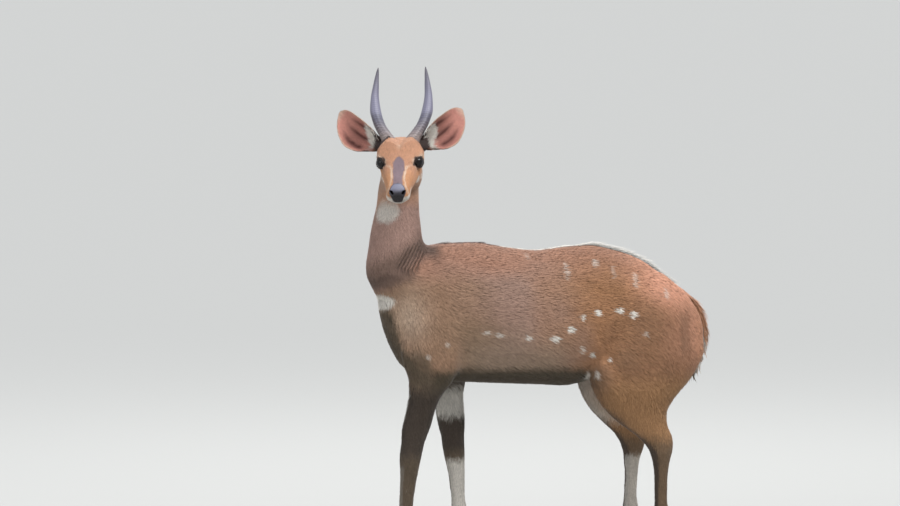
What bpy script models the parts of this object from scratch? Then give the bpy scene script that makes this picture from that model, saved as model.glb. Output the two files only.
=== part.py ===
"""Young bushbuck ram, life size, standing with its head turned to its left.

Every node is one closed solid. The flesh is modelled whole from lofts, then parted
with thin plane cuts; horns, ears, eyes, tail and dewclaws sit in pockets of their own.
The animal faces -X with its left side towards -Y, and its soles rest on z = 0.
"""

import bmesh
import bpy
import numpy as np
from math import cos, pi, radians, sin
from mathutils import Matrix, Vector

# ---------------------------------------------------------------- driving dimensions

GAP = 0.0003                      # left between any two touching solids
ROUND_EASE = 1.2                  # a faceted round pocket grows by this much more than the gap
FLESH_VOXEL = 0.005               # grid of the whole body before it is thinned
RING_POINTS = 28                  # points round one ring of a loft

# Trunk: x, top line, bottom line, half width
TRUNK = (
    (-0.402, 0.655, 0.605, 0.018),
    (-0.392, 0.690, 0.563, 0.042),
    (-0.374, 0.715, 0.515, 0.060),
    (-0.345, 0.738, 0.466, 0.076),
    (-0.300, 0.757, 0.438, 0.089),
    (-0.240, 0.768, 0.427, 0.098),
    (-0.170, 0.769, 0.423, 0.106),
    (-0.090, 0.757, 0.419, 0.114),
    (-0.010, 0.748, 0.415, 0.119),
    (0.060, 0.756, 0.411, 0.120),
    (0.120, 0.759, 0.424, 0.116),
    (0.180, 0.747, 0.452, 0.109),
    (0.240, 0.727, 0.470, 0.100),
    (0.300, 0.687, 0.474, 0.088),
    (0.345, 0.650, 0.480, 0.070),
    (0.372, 0.618, 0.500, 0.046),
    (0.384, 0.585, 0.530, 0.020),
)
TRUNK_WIDEST = 0.46               # level of the widest line, as a share of the depth
TRUNK_FULLNESS = 2.25             # 2 is an oval, more is squarer

# Neck: height, front x, back x, middle y, half width
NECK = (
    (0.590, -0.384, -0.150, 0.000, 0.076),
    (0.620, -0.398, -0.180, 0.000, 0.077),
    (0.655, -0.417, -0.215, 0.000, 0.077),
    (0.697, -0.433, -0.258, 0.000, 0.072),
    (0.746, -0.428, -0.284, 0.000, 0.064),
    (0.795, -0.421, -0.296, 0.002, 0.059),
    (0.856, -0.405, -0.300, 0.010, 0.055),
    (0.900, -0.399, -0.300, 0.014, 0.050),
    (0.945, -0.388, -0.304, 0.014, 0.045),
)

# Fore leg: height, front x and back x from the leg's line, middle y, half width
FORE_LEG = (
    (0.690, -0.020, 0.050, 0.050, 0.020),
    (0.640, -0.052, 0.064, 0.058, 0.032),
    (0.570, -0.078, 0.072, 0.066, 0.040),
    (0.500, -0.084, 0.072, 0.069, 0.042),
    (0.440, -0.056, 0.060, 0.069, 0.038),
    (0.380, -0.038, 0.038, 0.067, 0.031),
    (0.320, -0.036, 0.034, 0.065, 0.028),
    (0.285, -0.030, 0.028, 0.064, 0.026),
    (0.252, -0.029, 0.026, 0.063, 0.026),
    (0.222, -0.024, 0.024, 0.063, 0.022),
    (0.180, -0.0195, 0.021, 0.062, 0.018),
    (0.130, -0.017, 0.019, 0.062, 0.016),
    (0.092, -0.019, 0.024, 0.061, 0.019),
    (0.062, -0.029, 0.014, 0.061, 0.018),
    (0.036, -0.037, 0.007, 0.061, 0.020),
    (0.004, -0.046, 0.004, 0.061, 0.021),
)
# Line of each fore leg: height, x
FORE_LINE = {
    "left": ((0.00, -0.352), (0.09, -0.350), (0.25, -0.335), (0.38, -0.307),
             (0.45, -0.285), (0.60, -0.262), (0.69, -0.225)),
    "right": ((0.00, -0.188), (0.09, -0.190), (0.25, -0.200), (0.38, -0.214),
              (0.45, -0.228), (0.60, -0.250), (0.69, -0.225)),
}

# Hind leg: height, front x and back x on the left leg, middle y, half width
HIND_LEG = (
    (0.690, 0.215, 0.300, 0.040, 0.020),
    (0.630, 0.170, 0.364, 0.055, 0.042),
    (0.560, 0.136, 0.396, 0.064, 0.050),
    (0.500, 0.114, 0.399, 0.069, 0.051),
    (0.450, 0.104, 0.378, 0.072, 0.049),
    (0.410, 0.110, 0.350, 0.073, 0.045),
    (0.375, 0.130, 0.318, 0.073, 0.040),
    (0.340, 0.162, 0.302, 0.073, 0.035),
    (0.308, 0.203, 0.308, 0.073, 0.029),
    (0.282, 0.238, 0.320, 0.073, 0.026),
    (0.255, 0.259, 0.319, 0.072, 0.025),
    (0.225, 0.268, 0.311, 0.072, 0.021),
    (0.180, 0.272, 0.306, 0.071, 0.017),
    (0.130, 0.273, 0.306, 0.070, 0.016),
    (0.092, 0.269, 0.313, 0.070, 0.019),
    (0.062, 0.260, 0.303, 0.070, 0.018),
    (0.036, 0.252, 0.296, 0.070, 0.020),
    (0.004, 0.243, 0.293, 0.070, 0.021),
)
HIND_LINE = 0.2895                # x of the left hind cannon
# How far each hind leg is swung from that place: height, x
HIND_SWING = {
    "left": ((0.00, 0.000), (0.50, 0.000), (0.69, 0.000)),
    "right": ((0.00, -0.048), (0.25, -0.036), (0.34, -0.014), (0.42, 0.000), (0.69, 0.000)),
}

# Head: its own axes start midway between the eyes
BETWEEN_EYES = Vector((-0.357, -0.043, 0.970))
HEAD_TURN = radians(16)           # from facing -Y, towards -X
HEAD_SLOPE = radians(37)          # of the face, below level
HEAD_ROLL = radians(1.5)
# along the face, top of the profile, underside, half width
HEAD = (
    (-0.097, -0.014, -0.034, 0.018),
    (-0.088, 0.002, -0.060, 0.035),
    (-0.070, 0.018, -0.080, 0.044),
    (-0.045, 0.030, -0.087, 0.049),
    (-0.020, 0.034, -0.085, 0.052),
    (0.005, 0.032, -0.077, 0.051),
    (0.030, 0.0275, -0.062, 0.046),
    (0.060, 0.0245, -0.048, 0.0380),
    (0.090, 0.0225, -0.038, 0.0320),
    (0.115, 0.0200, -0.032, 0.0285),
    (0.130, 0.0150, -0.025, 0.0240),
    (0.139, 0.0050, -0.012, 0.0130),
)
HEAD_FULLNESS = 2.15
# along the face, level of the widest line as a share of the depth
HEAD_WIDEST = ((-0.097, 0.66), (0.015, 0.66), (0.055, 0.58), (0.139, 0.58))
# centre and radii of the muscles and bones that stand out, each on both sides
HEAD_MASSES = (
    (Vector((-0.004, 0.040, 0.002)), Vector((0.026, 0.0200, 0.0205))),  # brow and eye ring
    (Vector((-0.008, 0.030, -0.050)), Vector((0.048, 0.0205, 0.034))),  # cheek muscle
    (Vector((-0.068, 0.034, -0.008)), Vector((0.026, 0.026, 0.024))),   # root of the ear
    (Vector((0.123, 0.015, 0.000)), Vector((0.015, 0.013, 0.014))),     # wing of the nostril
)

EYE_RADIUS = 0.0145
EYE_PLACE = Vector((0.010, 0.0445, 0.003))

HORN_ROOT = Vector((-0.054, 0.027, 0.021))
HORN_RISE = radians(61)           # above level, leaning back
HORN_LENGTH = 0.198
# share of the length, radius
HORN_GIRTH = ((0.0, 0.0180), (0.12, 0.0160), (0.30, 0.0148), (0.42, 0.0138), (0.60, 0.0100),
              (0.80, 0.0065), (0.95, 0.0034), (1.0, 0.0012))
HORN_SUNK = 0.034                 # length of the root inside the head
HORN_KEEL = 0.16                  # how far the keel stands out, as a share of the radius
HORN_TWIST = radians(200)         # of the keel, from root to tip
HORN_KEEL_START = 0.6             # where the keel lies at the root, in radians from outwards
HORN_ROOT_LEAN = 0.10             # how far the sunk root leans inwards, per length
HORN_RINGS = 15
HORN_SIDES = 12
HORN_BOW = 0.010                  # how far the middle bows back
# share of the length, offset outwards from the root
HORN_SPREAD = ((0.0, 0.000), (0.10, 0.012), (0.25, 0.027), (0.45, 0.037), (0.62, 0.039),
               (0.80, 0.036), (1.0, 0.031))

EAR_ROOT = Vector((-0.068, 0.050, -0.010))
EAR_TIP = Vector((0.101, 0.0845, -0.025))    # outwards, up and ahead of the root
EAR_BEND = Vector((0.067, 0.0270, -0.003))   # the point that its spine curves towards
EAR_REACH = {"left": 0.965, "right": 1.065}  # the right ear is held a little wider
EAR_THICKNESS = 0.0062
EAR_FACES_OUT = 0.22              # how far the cup looks outwards, against forwards
EAR_FLOOR = (0.12, 4.5)           # the hollow starts this narrow, and opens this fast
EAR_ROWS = 10
EAR_COLUMNS = 9
EAR_POCKET_SHARE = 0.20           # of the length that the hole in the head clears
# share of the length, radius of the cup, half angle that the cup wraps, in degrees
EAR_CUP = ((0.0, 0.0125, 150.0), (0.14, 0.0185, 122.0), (0.32, 0.0315, 90.0),
           (0.52, 0.0385, 78.0), (0.68, 0.0385, 64.0), (0.82, 0.0385, 46.0), (0.93, 0.0385, 26.0),
           (1.0, 0.0380, 8.0))

# Tail: height, middle x, half thickness, half width
TAIL = (
    (0.655, 0.320, 0.0150, 0.0190),
    (0.628, 0.359, 0.0160, 0.0210),
    (0.598, 0.388, 0.0170, 0.0230),
    (0.570, 0.4035, 0.0175, 0.0245),
    (0.540, 0.4105, 0.0175, 0.0255),
    (0.505, 0.4065, 0.0165, 0.0250),
    (0.470, 0.394, 0.0135, 0.0205),
    (0.447, 0.384, 0.0095, 0.0135),
    (0.432, 0.379, 0.0050, 0.0065),
)

# Foot: two claws with a slanting top, and two dewclaws behind the fetlock
CLAW_TOE = -0.0520                # x of the toe from the leg's line
CLAW_HEEL = 0.0010
CLAW_WIDTH = 0.0185
CLAW_SPLIT = 0.0030               # between the two claws
CLAW_WALL = 0.0160                # how far the front wall leans back
CLAW_NARROWING = 0.10             # of the top against the sole
CLAW_STEPS = 8                    # along the outer side
CLAW_BROADEST = 0.38              # share of the way from heel to toe
CLAW_BOW = (0.50, 0.62, 0.55)     # reach of the bow behind and ahead of that, and its fullness
CORONET_FRONT = 0.0340            # height of the hoof's top edge in front
CORONET_SLOPE = 0.40              # fall of that edge towards the heel
DEWCLAW_HEIGHT = 0.0700
DEWCLAW_SPREAD = 0.0095           # of the two dewclaws from the leg's middle
DEWCLAW_SUNK = 0.003              # their middle lies this far inside the fetlock
DEWCLAW_LEAN = radians(-28)
DEWCLAW_RADII = Vector((0.0062, 0.0055, 0.0095))

# Cuts
BODY_CUT_HEIGHT = 0.400           # legs part from the trunk here
KNEE_CUT_HEIGHT = 0.238
HOCK_CUT_HEIGHT = 0.262
NECK_CUT_POINT = Vector((-0.345, 0.0, 0.706))
NECK_CUT_NORMAL = Vector((-0.60, 0.0, 0.80))
HEAD_CUT_POINT = Vector((-0.352, 0.005, 0.905))
HEAD_CUT_TILT = radians(24)       # of the cut between head and neck, from level

# Triangles of the whole body from which each node is cut
FINE, MIDDLE, COARSE = 8700, 3500, 2700

FUR_BROWN = (0.31, 0.19, 0.13)
FUR_RUFOUS = (0.35, 0.19, 0.10)
FUR_DARK = (0.085, 0.065, 0.050)
EAR_PINK = (0.36, 0.17, 0.13)
HORN_GREY = (0.30, 0.29, 0.33)
HOOF_BLACK = (0.03, 0.027, 0.025)
EYE_BLACK = (0.008, 0.006, 0.005)

# ---------------------------------------------------------------- helpers


def smooth(table, column=1):
    """A smooth function of the table's first column that never overshoots a station."""
    rows = sorted(table)
    knots = np.array([row[0] for row in rows], float)
    values = np.array([row[column] for row in rows], float)
    steps = np.diff(knots)
    slopes = np.diff(values) / steps
    tangents = np.zeros_like(values)
    tangents[0] = slopes[0]
    tangents[-1] = slopes[-1]
    for i in range(1, len(knots) - 1):
        if slopes[i - 1] * slopes[i] > 0:
            tangents[i] = 2 * slopes[i - 1] * slopes[i] / (slopes[i - 1] + slopes[i])

    def value(t):
        i = int(np.clip(np.searchsorted(knots, t) - 1, 0, len(steps) - 1))
        u = float(np.clip((t - knots[i]) / steps[i], 0.0, 1.0))
        rise = (2 * u ** 3 - 3 * u ** 2 + 1) * values[i] + (3 * u ** 2 - 2 * u ** 3) * values[i + 1]
        bend = (u ** 3 - 2 * u ** 2 + u) * tangents[i] + (u ** 3 - u ** 2) * tangents[i + 1]
        return float(rise + bend * steps[i])

    return value


def ring(centre, across, up, reach_across, reach_up, reach_down, fullness=2.0, points=RING_POINTS):
    """A closed rounded outline in the plane of two directions."""
    outline = []
    for k in range(points):
        angle = 2 * pi * k / points
        side = np.sign(cos(angle)) * abs(cos(angle)) ** (2 / fullness)
        rise = np.sign(sin(angle)) * abs(sin(angle)) ** (2 / fullness)
        height = reach_up if rise > 0 else reach_down
        outline.append(centre + across * (side * reach_across) + up * (rise * height))
    return outline


def loft(bm, rings):
    """Skin a run of equal rings and close both ends."""
    rows = [[bm.verts.new(point) for point in outline] for outline in rings]
    count = len(rows[0])
    faces = []
    for low, high in zip(rows, rows[1:]):
        for k in range(count):
            n = (k + 1) % count
            faces.append(bm.faces.new((low[k], low[n], high[n], high[k])))
    faces.append(bm.faces.new(rows[0][::-1]))
    faces.append(bm.faces.new(rows[-1]))
    bmesh.ops.recalc_face_normals(bm, faces=faces)
    return rows


def ellipsoid(bm, centre, radii, turn):
    """A closed egg at a place, with its axes along the columns of turn."""
    scale = Matrix.Diagonal((radii.x, radii.y, radii.z, 1.0))
    place = Matrix.Translation(centre) @ turn.to_4x4() @ scale
    bmesh.ops.create_icosphere(bm, subdivisions=3, radius=1.0, matrix=place)


def object_from(bm, name):
    """Turn a bmesh into a linked object."""
    mesh = bpy.data.meshes.new(name)
    bm.to_mesh(mesh)
    bm.free()
    thing = bpy.data.objects.new(name, mesh)
    bpy.context.scene.collection.objects.link(thing)
    return thing


def settle(thing):
    """Apply all of an object's modifiers."""
    graph = bpy.context.evaluated_depsgraph_get()
    mesh = bpy.data.meshes.new_from_object(thing.evaluated_get(graph))
    thing.modifiers.clear()
    thing.data = mesh
    return thing


def remove(thing):
    bpy.data.objects.remove(thing)


def copy_of(thing, name):
    twin = bpy.data.objects.new(name, thing.data.copy())
    bpy.context.scene.collection.objects.link(twin)
    return twin


def cut(thing, point, normal):
    """Keep what lies behind a plane, leaving half the gap, and close the cut flat."""
    bm = bmesh.new()
    bm.from_mesh(thing.data)
    geometry = bm.verts[:] + bm.edges[:] + bm.faces[:]
    unit = normal.normalized()
    place = point - unit * (GAP / 2)
    bmesh.ops.bisect_plane(bm, geom=geometry, dist=1e-6, plane_co=place, plane_no=unit, clear_outer=True)
    rim = [edge for edge in bm.edges if edge.is_boundary]
    bmesh.ops.holes_fill(bm, edges=rim, sides=0)
    bmesh.ops.dissolve_degenerate(bm, dist=2e-5, edges=bm.edges[:])
    bmesh.ops.triangulate(bm, faces=bm.faces[:])
    bm.to_mesh(thing.data)
    bm.free()
    return thing


def keep_island(thing, near):
    """Keep only the connected piece whose middle is closest to a point."""
    bm = bmesh.new()
    bm.from_mesh(thing.data)
    islands = []
    unseen = set(bm.verts)
    while unseen:
        island = set()
        edge_of_search = [unseen.pop()]
        while edge_of_search:
            vert = edge_of_search.pop()
            island.add(vert)
            linked = {e.other_vert(vert) for e in vert.link_edges} & unseen
            unseen -= linked
            edge_of_search.extend(linked)
        islands.append(island)

    def distance(island):
        middle = sum((v.co for v in island), Vector()) / len(island)
        return (middle - near).length

    wanted = min(islands, key=distance)
    bmesh.ops.delete(bm, geom=[v for v in bm.verts if v not in wanted], context="VERTS")
    bm.to_mesh(thing.data)
    bm.free()
    return thing


def thinned(thing, triangles, name):
    """A copy of a dense mesh with about so many triangles."""
    copy = copy_of(thing, name)
    bm = bmesh.new()
    bm.from_mesh(copy.data)
    bmesh.ops.triangulate(bm, faces=bm.faces[:])
    bm.to_mesh(copy.data)
    bm.free()
    modifier = copy.modifiers.new("thin", "DECIMATE")
    modifier.ratio = triangles / len(copy.data.polygons)
    return settle(copy)


def difference(thing, cutter):
    """Cut one closed solid out of another and drop the cutter."""
    modifier = thing.modifiers.new("cut", "BOOLEAN")
    modifier.operation = "DIFFERENCE"
    modifier.solver = "EXACT"
    modifier.object = cutter
    settle(thing)
    remove(cutter)
    return thing


# ---------------------------------------------------------------- head axes


def heading():
    """The level direction that the head faces."""
    return Vector((-sin(HEAD_TURN), -cos(HEAD_TURN), 0.0))


def head_axes():
    """Columns: along the face, to the animal's left, out of the face."""
    up = Vector((0.0, 0.0, 1.0))
    left = up.cross(heading())
    left_rolled = (left * cos(HEAD_ROLL) + up * sin(HEAD_ROLL)).normalized()
    along = heading() * cos(HEAD_SLOPE) - up * sin(HEAD_SLOPE)
    along = (along - left_rolled * along.dot(left_rolled)).normalized()
    out = along.cross(left_rolled)
    return Matrix((along, left_rolled, out)).transposed()


HEAD_AXES = head_axes()


def in_head(along, left, out):
    """A point given on the head's own axes."""
    return BETWEEN_EYES + HEAD_AXES @ Vector((along, left, out))


# ---------------------------------------------------------------- flesh


def add_trunk(bm):
    """The barrel, as upright rings from the chest to the rump."""
    top, bottom, half = (smooth(TRUNK, k) for k in (1, 2, 3))
    rings = []
    for x in np.linspace(TRUNK[0][0], TRUNK[-1][0], 60):
        depth = top(x) - bottom(x)
        level = bottom(x) + TRUNK_WIDEST * depth
        centre = Vector((x, 0.0, level))
        rings.append(ring(centre, Vector((0, 1, 0)), Vector((0, 0, 1)), half(x),
                          top(x) - level, level - bottom(x), TRUNK_FULLNESS))
    loft(bm, rings)


def add_column(bm, table, side, shift, fullness=2.1, steps=56):
    """A leg or the neck: level rings between a front and a back outline."""
    front, back, middle, half = (smooth(table, k) for k in (1, 2, 3, 4))
    heights = [row[0] for row in table]
    rings = []
    for z in np.linspace(min(heights), max(heights), steps):
        x = (front(z) + back(z)) / 2 + shift(z)
        reach = (back(z) - front(z)) / 2
        centre = Vector((x, side * middle(z), z))
        rings.append(ring(centre, Vector((1, 0, 0)), Vector((0, 1, 0)), reach, half(z), half(z), fullness))
    loft(bm, rings)


def add_head(bm):
    """The skull, as rings across the face, with its muscles on both sides."""
    top, under, half = (smooth(HEAD, k) for k in (1, 2, 3))
    widest = smooth(HEAD_WIDEST)
    left, out = HEAD_AXES.col[1], HEAD_AXES.col[2]
    rings = []
    for a in np.linspace(HEAD[0][0], HEAD[-1][0], 44):
        depth = top(a) - under(a)
        level = under(a) + depth * widest(a)
        rings.append(ring(in_head(a, 0, level), left, out, half(a), top(a) - level,
                          level - under(a), HEAD_FULLNESS))
    loft(bm, rings)
    for centre, radii in HEAD_MASSES:
        for side in (1, -1):
            ellipsoid(bm, in_head(centre.x, side * centre.y, centre.z), radii, HEAD_AXES)


SIDES = {"left": -1, "right": 1}


def make_flesh():
    """The whole body without horns, ears, eyes, tail and hooves, as one dense mesh."""
    bm = bmesh.new()
    add_trunk(bm)
    add_column(bm, NECK, 1, lambda z: 0.0, 2.05)
    for name, side in SIDES.items():
        add_column(bm, FORE_LEG, side, smooth(FORE_LINE[name]))
        add_column(bm, HIND_LEG, side, smooth(HIND_SWING[name]))
    add_head(bm)
    flesh = object_from(bm, "flesh")
    voxels = flesh.modifiers.new("union", "REMESH")
    voxels.mode = "VOXEL"
    voxels.voxel_size = FLESH_VOXEL
    relax = flesh.modifiers.new("relax", "SMOOTH")
    relax.factor = 0.5
    relax.iterations = 8
    return settle(flesh)


# ---------------------------------------------------------------- horns, ears, eyes, tail


def make_horn(side, name, grow=0.0):
    """A keeled horn on its own curve; grow makes the pocket for it."""
    left = HEAD_AXES.col[1] * -side
    rise = -heading() * cos(HORN_RISE) + Vector((0, 0, 1)) * sin(HORN_RISE)
    rise = (rise - left * rise.dot(left)).normalized()
    back = left.cross(rise) * (1 if left.cross(rise).dot(heading()) < 0 else -1)
    root = in_head(HORN_ROOT.x, -side * HORN_ROOT.y, HORN_ROOT.z)
    spread, girth = smooth(HORN_SPREAD), smooth(HORN_GIRTH)
    bm = bmesh.new()
    rings = []
    sunk = -(HORN_SUNK + grow) / HORN_LENGTH
    for t in np.concatenate(([sunk], np.linspace(0, 1, HORN_RINGS))):
        share = max(t, 0.0)
        outwards = spread(share) + HORN_ROOT_LEAN * min(t, 0) * HORN_LENGTH
        middle = root + rise * (t * HORN_LENGTH) + left * outwards
        middle += back * (HORN_BOW * sin(pi * share))
        outline = []
        for k in range(HORN_SIDES):
            angle = 2 * pi * k / HORN_SIDES
            keel = max(0.0, cos(angle - HORN_TWIST * share - HORN_KEEL_START)) ** 5
            reach = girth(share) * (1 + HORN_KEEL * keel) + grow
            outline.append(middle + left * (reach * cos(angle)) + back * (reach * sin(angle)))
        rings.append(outline)
    loft(bm, rings)
    return object_from(bm, name)


def ear_spine(side):
    """The curve up the back of an ear, then the way its cup faces and its chord."""
    left = HEAD_AXES.col[1] * -side
    reach = EAR_REACH["left" if side < 0 else "right"]
    frame = Matrix((left * reach, Vector((0, 0, 1)), heading())).transposed()
    root = in_head(EAR_ROOT.x, -side * EAR_ROOT.y, EAR_ROOT.z)
    tip, bend = frame @ EAR_TIP, frame @ EAR_BEND
    along = tip.normalized()
    facing = (heading() + left * EAR_FACES_OUT).normalized()
    facing = (facing - along * facing.dot(along)).normalized()

    def spine(share):
        return root + bend * (2 * share * (1 - share)) + tip * share ** 2

    return spine, facing, along.cross(facing)


def make_ear_pocket(side):
    """The round hole in the head that an ear's stalk stands in."""
    spine, facing, chord = ear_spine(side)
    radius = smooth(EAR_CUP)
    bm = bmesh.new()
    rings = []
    for share in np.linspace(-GAP / EAR_TIP.length, EAR_POCKET_SHARE, 5):
        reach = radius(share) + EAR_THICKNESS / 2 + GAP * 2
        middle = spine(share) + facing * (radius(share) - radius(0))
        rings.append(ring(middle, chord, facing, reach, reach, reach, 2.0, 20))
    loft(bm, rings)
    return object_from(bm, "pocket")


def make_ear(side, name):
    """A cupped leaf that rolls into a stalk at its root."""
    spine, facing, chord = ear_spine(side)
    radius, wrap = smooth(EAR_CUP), smooth(EAR_CUP, 2)
    shares = [1 - (1 - k / EAR_ROWS) ** 1.3 for k in range(EAR_ROWS + 1)]
    across = np.linspace(-1, 1, EAR_COLUMNS)
    bm = bmesh.new()

    def sheet(offset, fill):
        rows = []
        for share in shares:
            reach = radius(share) + offset
            if fill:
                reach *= min(1.0, EAR_FLOOR[0] + share * EAR_FLOOR[1])
            half = radians(wrap(share))
            back = spine(share) - facing * radius(0)
            row = []
            for u in across:
                angle = u * half
                middle = radius(share)
                row.append(bm.verts.new(back + chord * (reach * sin(angle))
                                        + facing * (middle - reach * cos(angle))))
            rows.append(row)
        return rows

    outer = sheet(EAR_THICKNESS / 2, False)
    inner = sheet(-EAR_THICKNESS / 2, True)
    faces = []
    for rows in (outer, inner):
        for low, high in zip(rows, rows[1:]):
            for k in range(len(across) - 1):
                faces.append(bm.faces.new((low[k], low[k + 1], high[k + 1], high[k])))
    for i in range(len(shares) - 1):
        for k in (0, -1):
            faces.append(bm.faces.new((outer[i][k], outer[i + 1][k], inner[i + 1][k], inner[i][k])))
    for row in (0, -1):
        for k in range(len(across) - 1):
            faces.append(bm.faces.new((outer[row][k], outer[row][k + 1], inner[row][k + 1], inner[row][k])))
    bmesh.ops.recalc_face_normals(bm, faces=faces)
    return object_from(bm, name)


def make_eye(side, name, grow=0.0):
    """A round eyeball; grow makes its socket."""
    bm = bmesh.new()
    centre = in_head(EYE_PLACE.x, -side * EYE_PLACE.y, EYE_PLACE.z)
    bmesh.ops.create_uvsphere(bm, u_segments=14, v_segments=9, radius=EYE_RADIUS + ROUND_EASE * grow,
                              matrix=Matrix.Translation(centre))
    return object_from(bm, name)


def make_tail(name, grow=0.0):
    """A flat brush that hangs behind the thighs; grow makes its bed."""
    x, thick, half = (smooth(TAIL, k) for k in (1, 2, 3))
    bm = bmesh.new()
    rings = []
    heights = np.linspace(TAIL[0][0], TAIL[-1][0], 12)
    for z in heights:
        ahead = Vector((x(z - 0.004) - x(z + 0.004), 0, -0.008)).normalized()
        out = Vector((0, 1, 0)).cross(ahead)
        rings.append(ring(Vector((x(z), 0, z)), Vector((0, 1, 0)), out, half(z) + grow,
                          thick(z) + grow, thick(z) + grow, 2.0, 10))
    loft(bm, rings)
    return object_from(bm, name)


# ---------------------------------------------------------------- feet


def claw_outline(line_x, middle_y, outwards, share):
    """One level of a claw: a straight inner side and a bowed outer side."""
    toe = line_x + CLAW_TOE + CLAW_WALL * share
    heel = line_x + CLAW_HEEL
    width = CLAW_WIDTH * (1 - CLAW_NARROWING * share)
    behind, ahead, fullness = CLAW_BOW
    points = []
    for k in range(CLAW_STEPS + 1):
        f = k / CLAW_STEPS
        bow = 1 - ((f - CLAW_BROADEST) / (ahead if f > CLAW_BROADEST else behind)) ** 2
        points.append((heel + (toe - heel) * f, width * max(bow, 0.03) ** fullness))
    for f in (1.0, 0.66, 0.33, 0.0):
        points.append((heel + (toe - heel) * f, 0.0))
    top = CORONET_FRONT - GAP
    outline = []
    for x, y in points:
        edge = top - CORONET_SLOPE * (x - (line_x + CLAW_TOE + CLAW_WALL))
        outline.append(Vector((x, middle_y + outwards * (CLAW_SPLIT / 2 + y), edge * share)))
    return outline


def make_claw(line_x, middle_y, outwards, name):
    """One hoof, with a flat sole and a slanting top."""
    bm = bmesh.new()
    loft(bm, [claw_outline(line_x, middle_y, outwards, share) for share in (0.0, 0.5, 1.0)])
    return object_from(bm, name)


def make_dewclaw(back_x, middle_y, outwards, name, grow=0.0):
    """A small egg of horn behind the fetlock; grow makes its pocket."""
    bm = bmesh.new()
    place = Matrix.Translation((back_x - DEWCLAW_SUNK, middle_y + outwards * DEWCLAW_SPREAD, DEWCLAW_HEIGHT))
    radii = DEWCLAW_RADII + Vector((grow, grow, grow)) * ROUND_EASE
    size = Matrix.Diagonal((radii.x, radii.y, radii.z, 1.0))
    lean = Matrix.Rotation(DEWCLAW_LEAN, 4, "Y")
    bmesh.ops.create_uvsphere(bm, u_segments=6, v_segments=5, radius=1.0, matrix=place @ lean @ size)
    return object_from(bm, name)


# ---------------------------------------------------------------- parting


def finish(thing, name, colour, roughness=0.9, sharp=60):
    """Name a node, give it its own material and shade it."""
    thing.name = name
    thing.data.name = name
    material = bpy.data.materials.new(name)
    material.use_nodes = True
    shader = material.node_tree.nodes["Principled BSDF"]
    shader.inputs["Base Color"].default_value = (*colour, 1.0)
    shader.inputs["Roughness"].default_value = roughness
    shader.inputs["Metallic"].default_value = 0.0
    thing.data.materials.clear()
    thing.data.materials.append(material)
    thing.data.shade_smooth()
    thing.data.set_sharp_from_angle(angle=radians(sharp))
    return thing


def head_cut_normal():
    """Up and towards the face: the side of the cut where the head lies."""
    return heading() * sin(HEAD_CUT_TILT) + Vector((0, 0, 1)) * cos(HEAD_CUT_TILT)


def part_head(fine):
    """Cut the head off, with pockets for its horns, ears and eyes, and make those."""
    head = cut(copy_of(fine, "head"), HEAD_CUT_POINT, -head_cut_normal())
    for word, side in SIDES.items():
        difference(head, make_ear_pocket(side))
        for maker in (make_horn, make_eye):
            difference(head, maker(side, "pocket", GAP))
        finish(make_horn(side, "horn"), "horn_" + word, HORN_GREY, 0.45)
        finish(make_ear(side, "ear"), "ear_" + word, EAR_PINK, 0.8)
        finish(make_eye(side, "eye"), "eye_" + word, EYE_BLACK, 0.08)
    finish(head, "head", FUR_RUFOUS)


def part_neck(middle):
    """What lies between the two cuts of the neck."""
    neck = cut(copy_of(middle, "neck"), HEAD_CUT_POINT, head_cut_normal())
    finish(cut(neck, NECK_CUT_POINT, -NECK_CUT_NORMAL), "neck", FUR_BROWN)


def part_trunk(coarse):
    """The trunk down to the tops of the legs, with a bed for the tail."""
    trunk = cut(copy_of(coarse, "trunk"), NECK_CUT_POINT, NECK_CUT_NORMAL)
    trunk = cut(trunk, Vector((0, 0, BODY_CUT_HEIGHT)), Vector((0, 0, -1)))
    difference(trunk, make_tail("bed", GAP))
    finish(trunk, "trunk", FUR_BROWN)
    finish(make_tail("tail"), "tail", FUR_RUFOUS)


def part_leg(legs, name, line_x, middle_y, joint_height):
    """Cut one leg in two at its middle joint and give it its hooves."""
    down = Vector((0, 0, -1))
    whole = keep_island(copy_of(legs, name), Vector((line_x, middle_y, joint_height)))
    joint = Vector((0, 0, joint_height))
    upper = cut(copy_of(whole, name + "_upper"), joint, down)
    lower = cut(whole, joint, -down)
    coronet = Vector((line_x + CLAW_TOE + CLAW_WALL, middle_y, CORONET_FRONT))
    lower = cut(lower, coronet, Vector((-CORONET_SLOPE, 0, -1)))
    near = [v.co.x for v in lower.data.vertices if abs(v.co.z - DEWCLAW_HEIGHT) < 0.012]
    back_x = max(near)
    for word, outwards in (("inner", -1), ("outer", 1)):
        away = outwards if middle_y > 0 else -outwards
        finish(make_claw(line_x, middle_y, away, "claw"), f"{name}_claw_{word}", HOOF_BLACK, 0.5)
        difference(lower, make_dewclaw(back_x, middle_y, away, "pocket", GAP))
        finish(make_dewclaw(back_x, middle_y, away, "dewclaw"), f"{name}_dewclaw_{word}", HOOF_BLACK, 0.5)
    finish(upper, name + "_upper", FUR_BROWN)
    finish(lower, name + "_lower", FUR_DARK)


def stand_on_origin():
    """Move everything so that the middle of its base is the origin."""
    things = list(bpy.data.objects)
    corners = np.array([v.co for thing in things for v in thing.data.vertices])
    low, high = corners.min(0), corners.max(0)
    shift = Matrix.Translation((-(low[0] + high[0]) / 2, -(low[1] + high[1]) / 2, -low[2]))
    for thing in things:
        thing.data.transform(shift)


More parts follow.
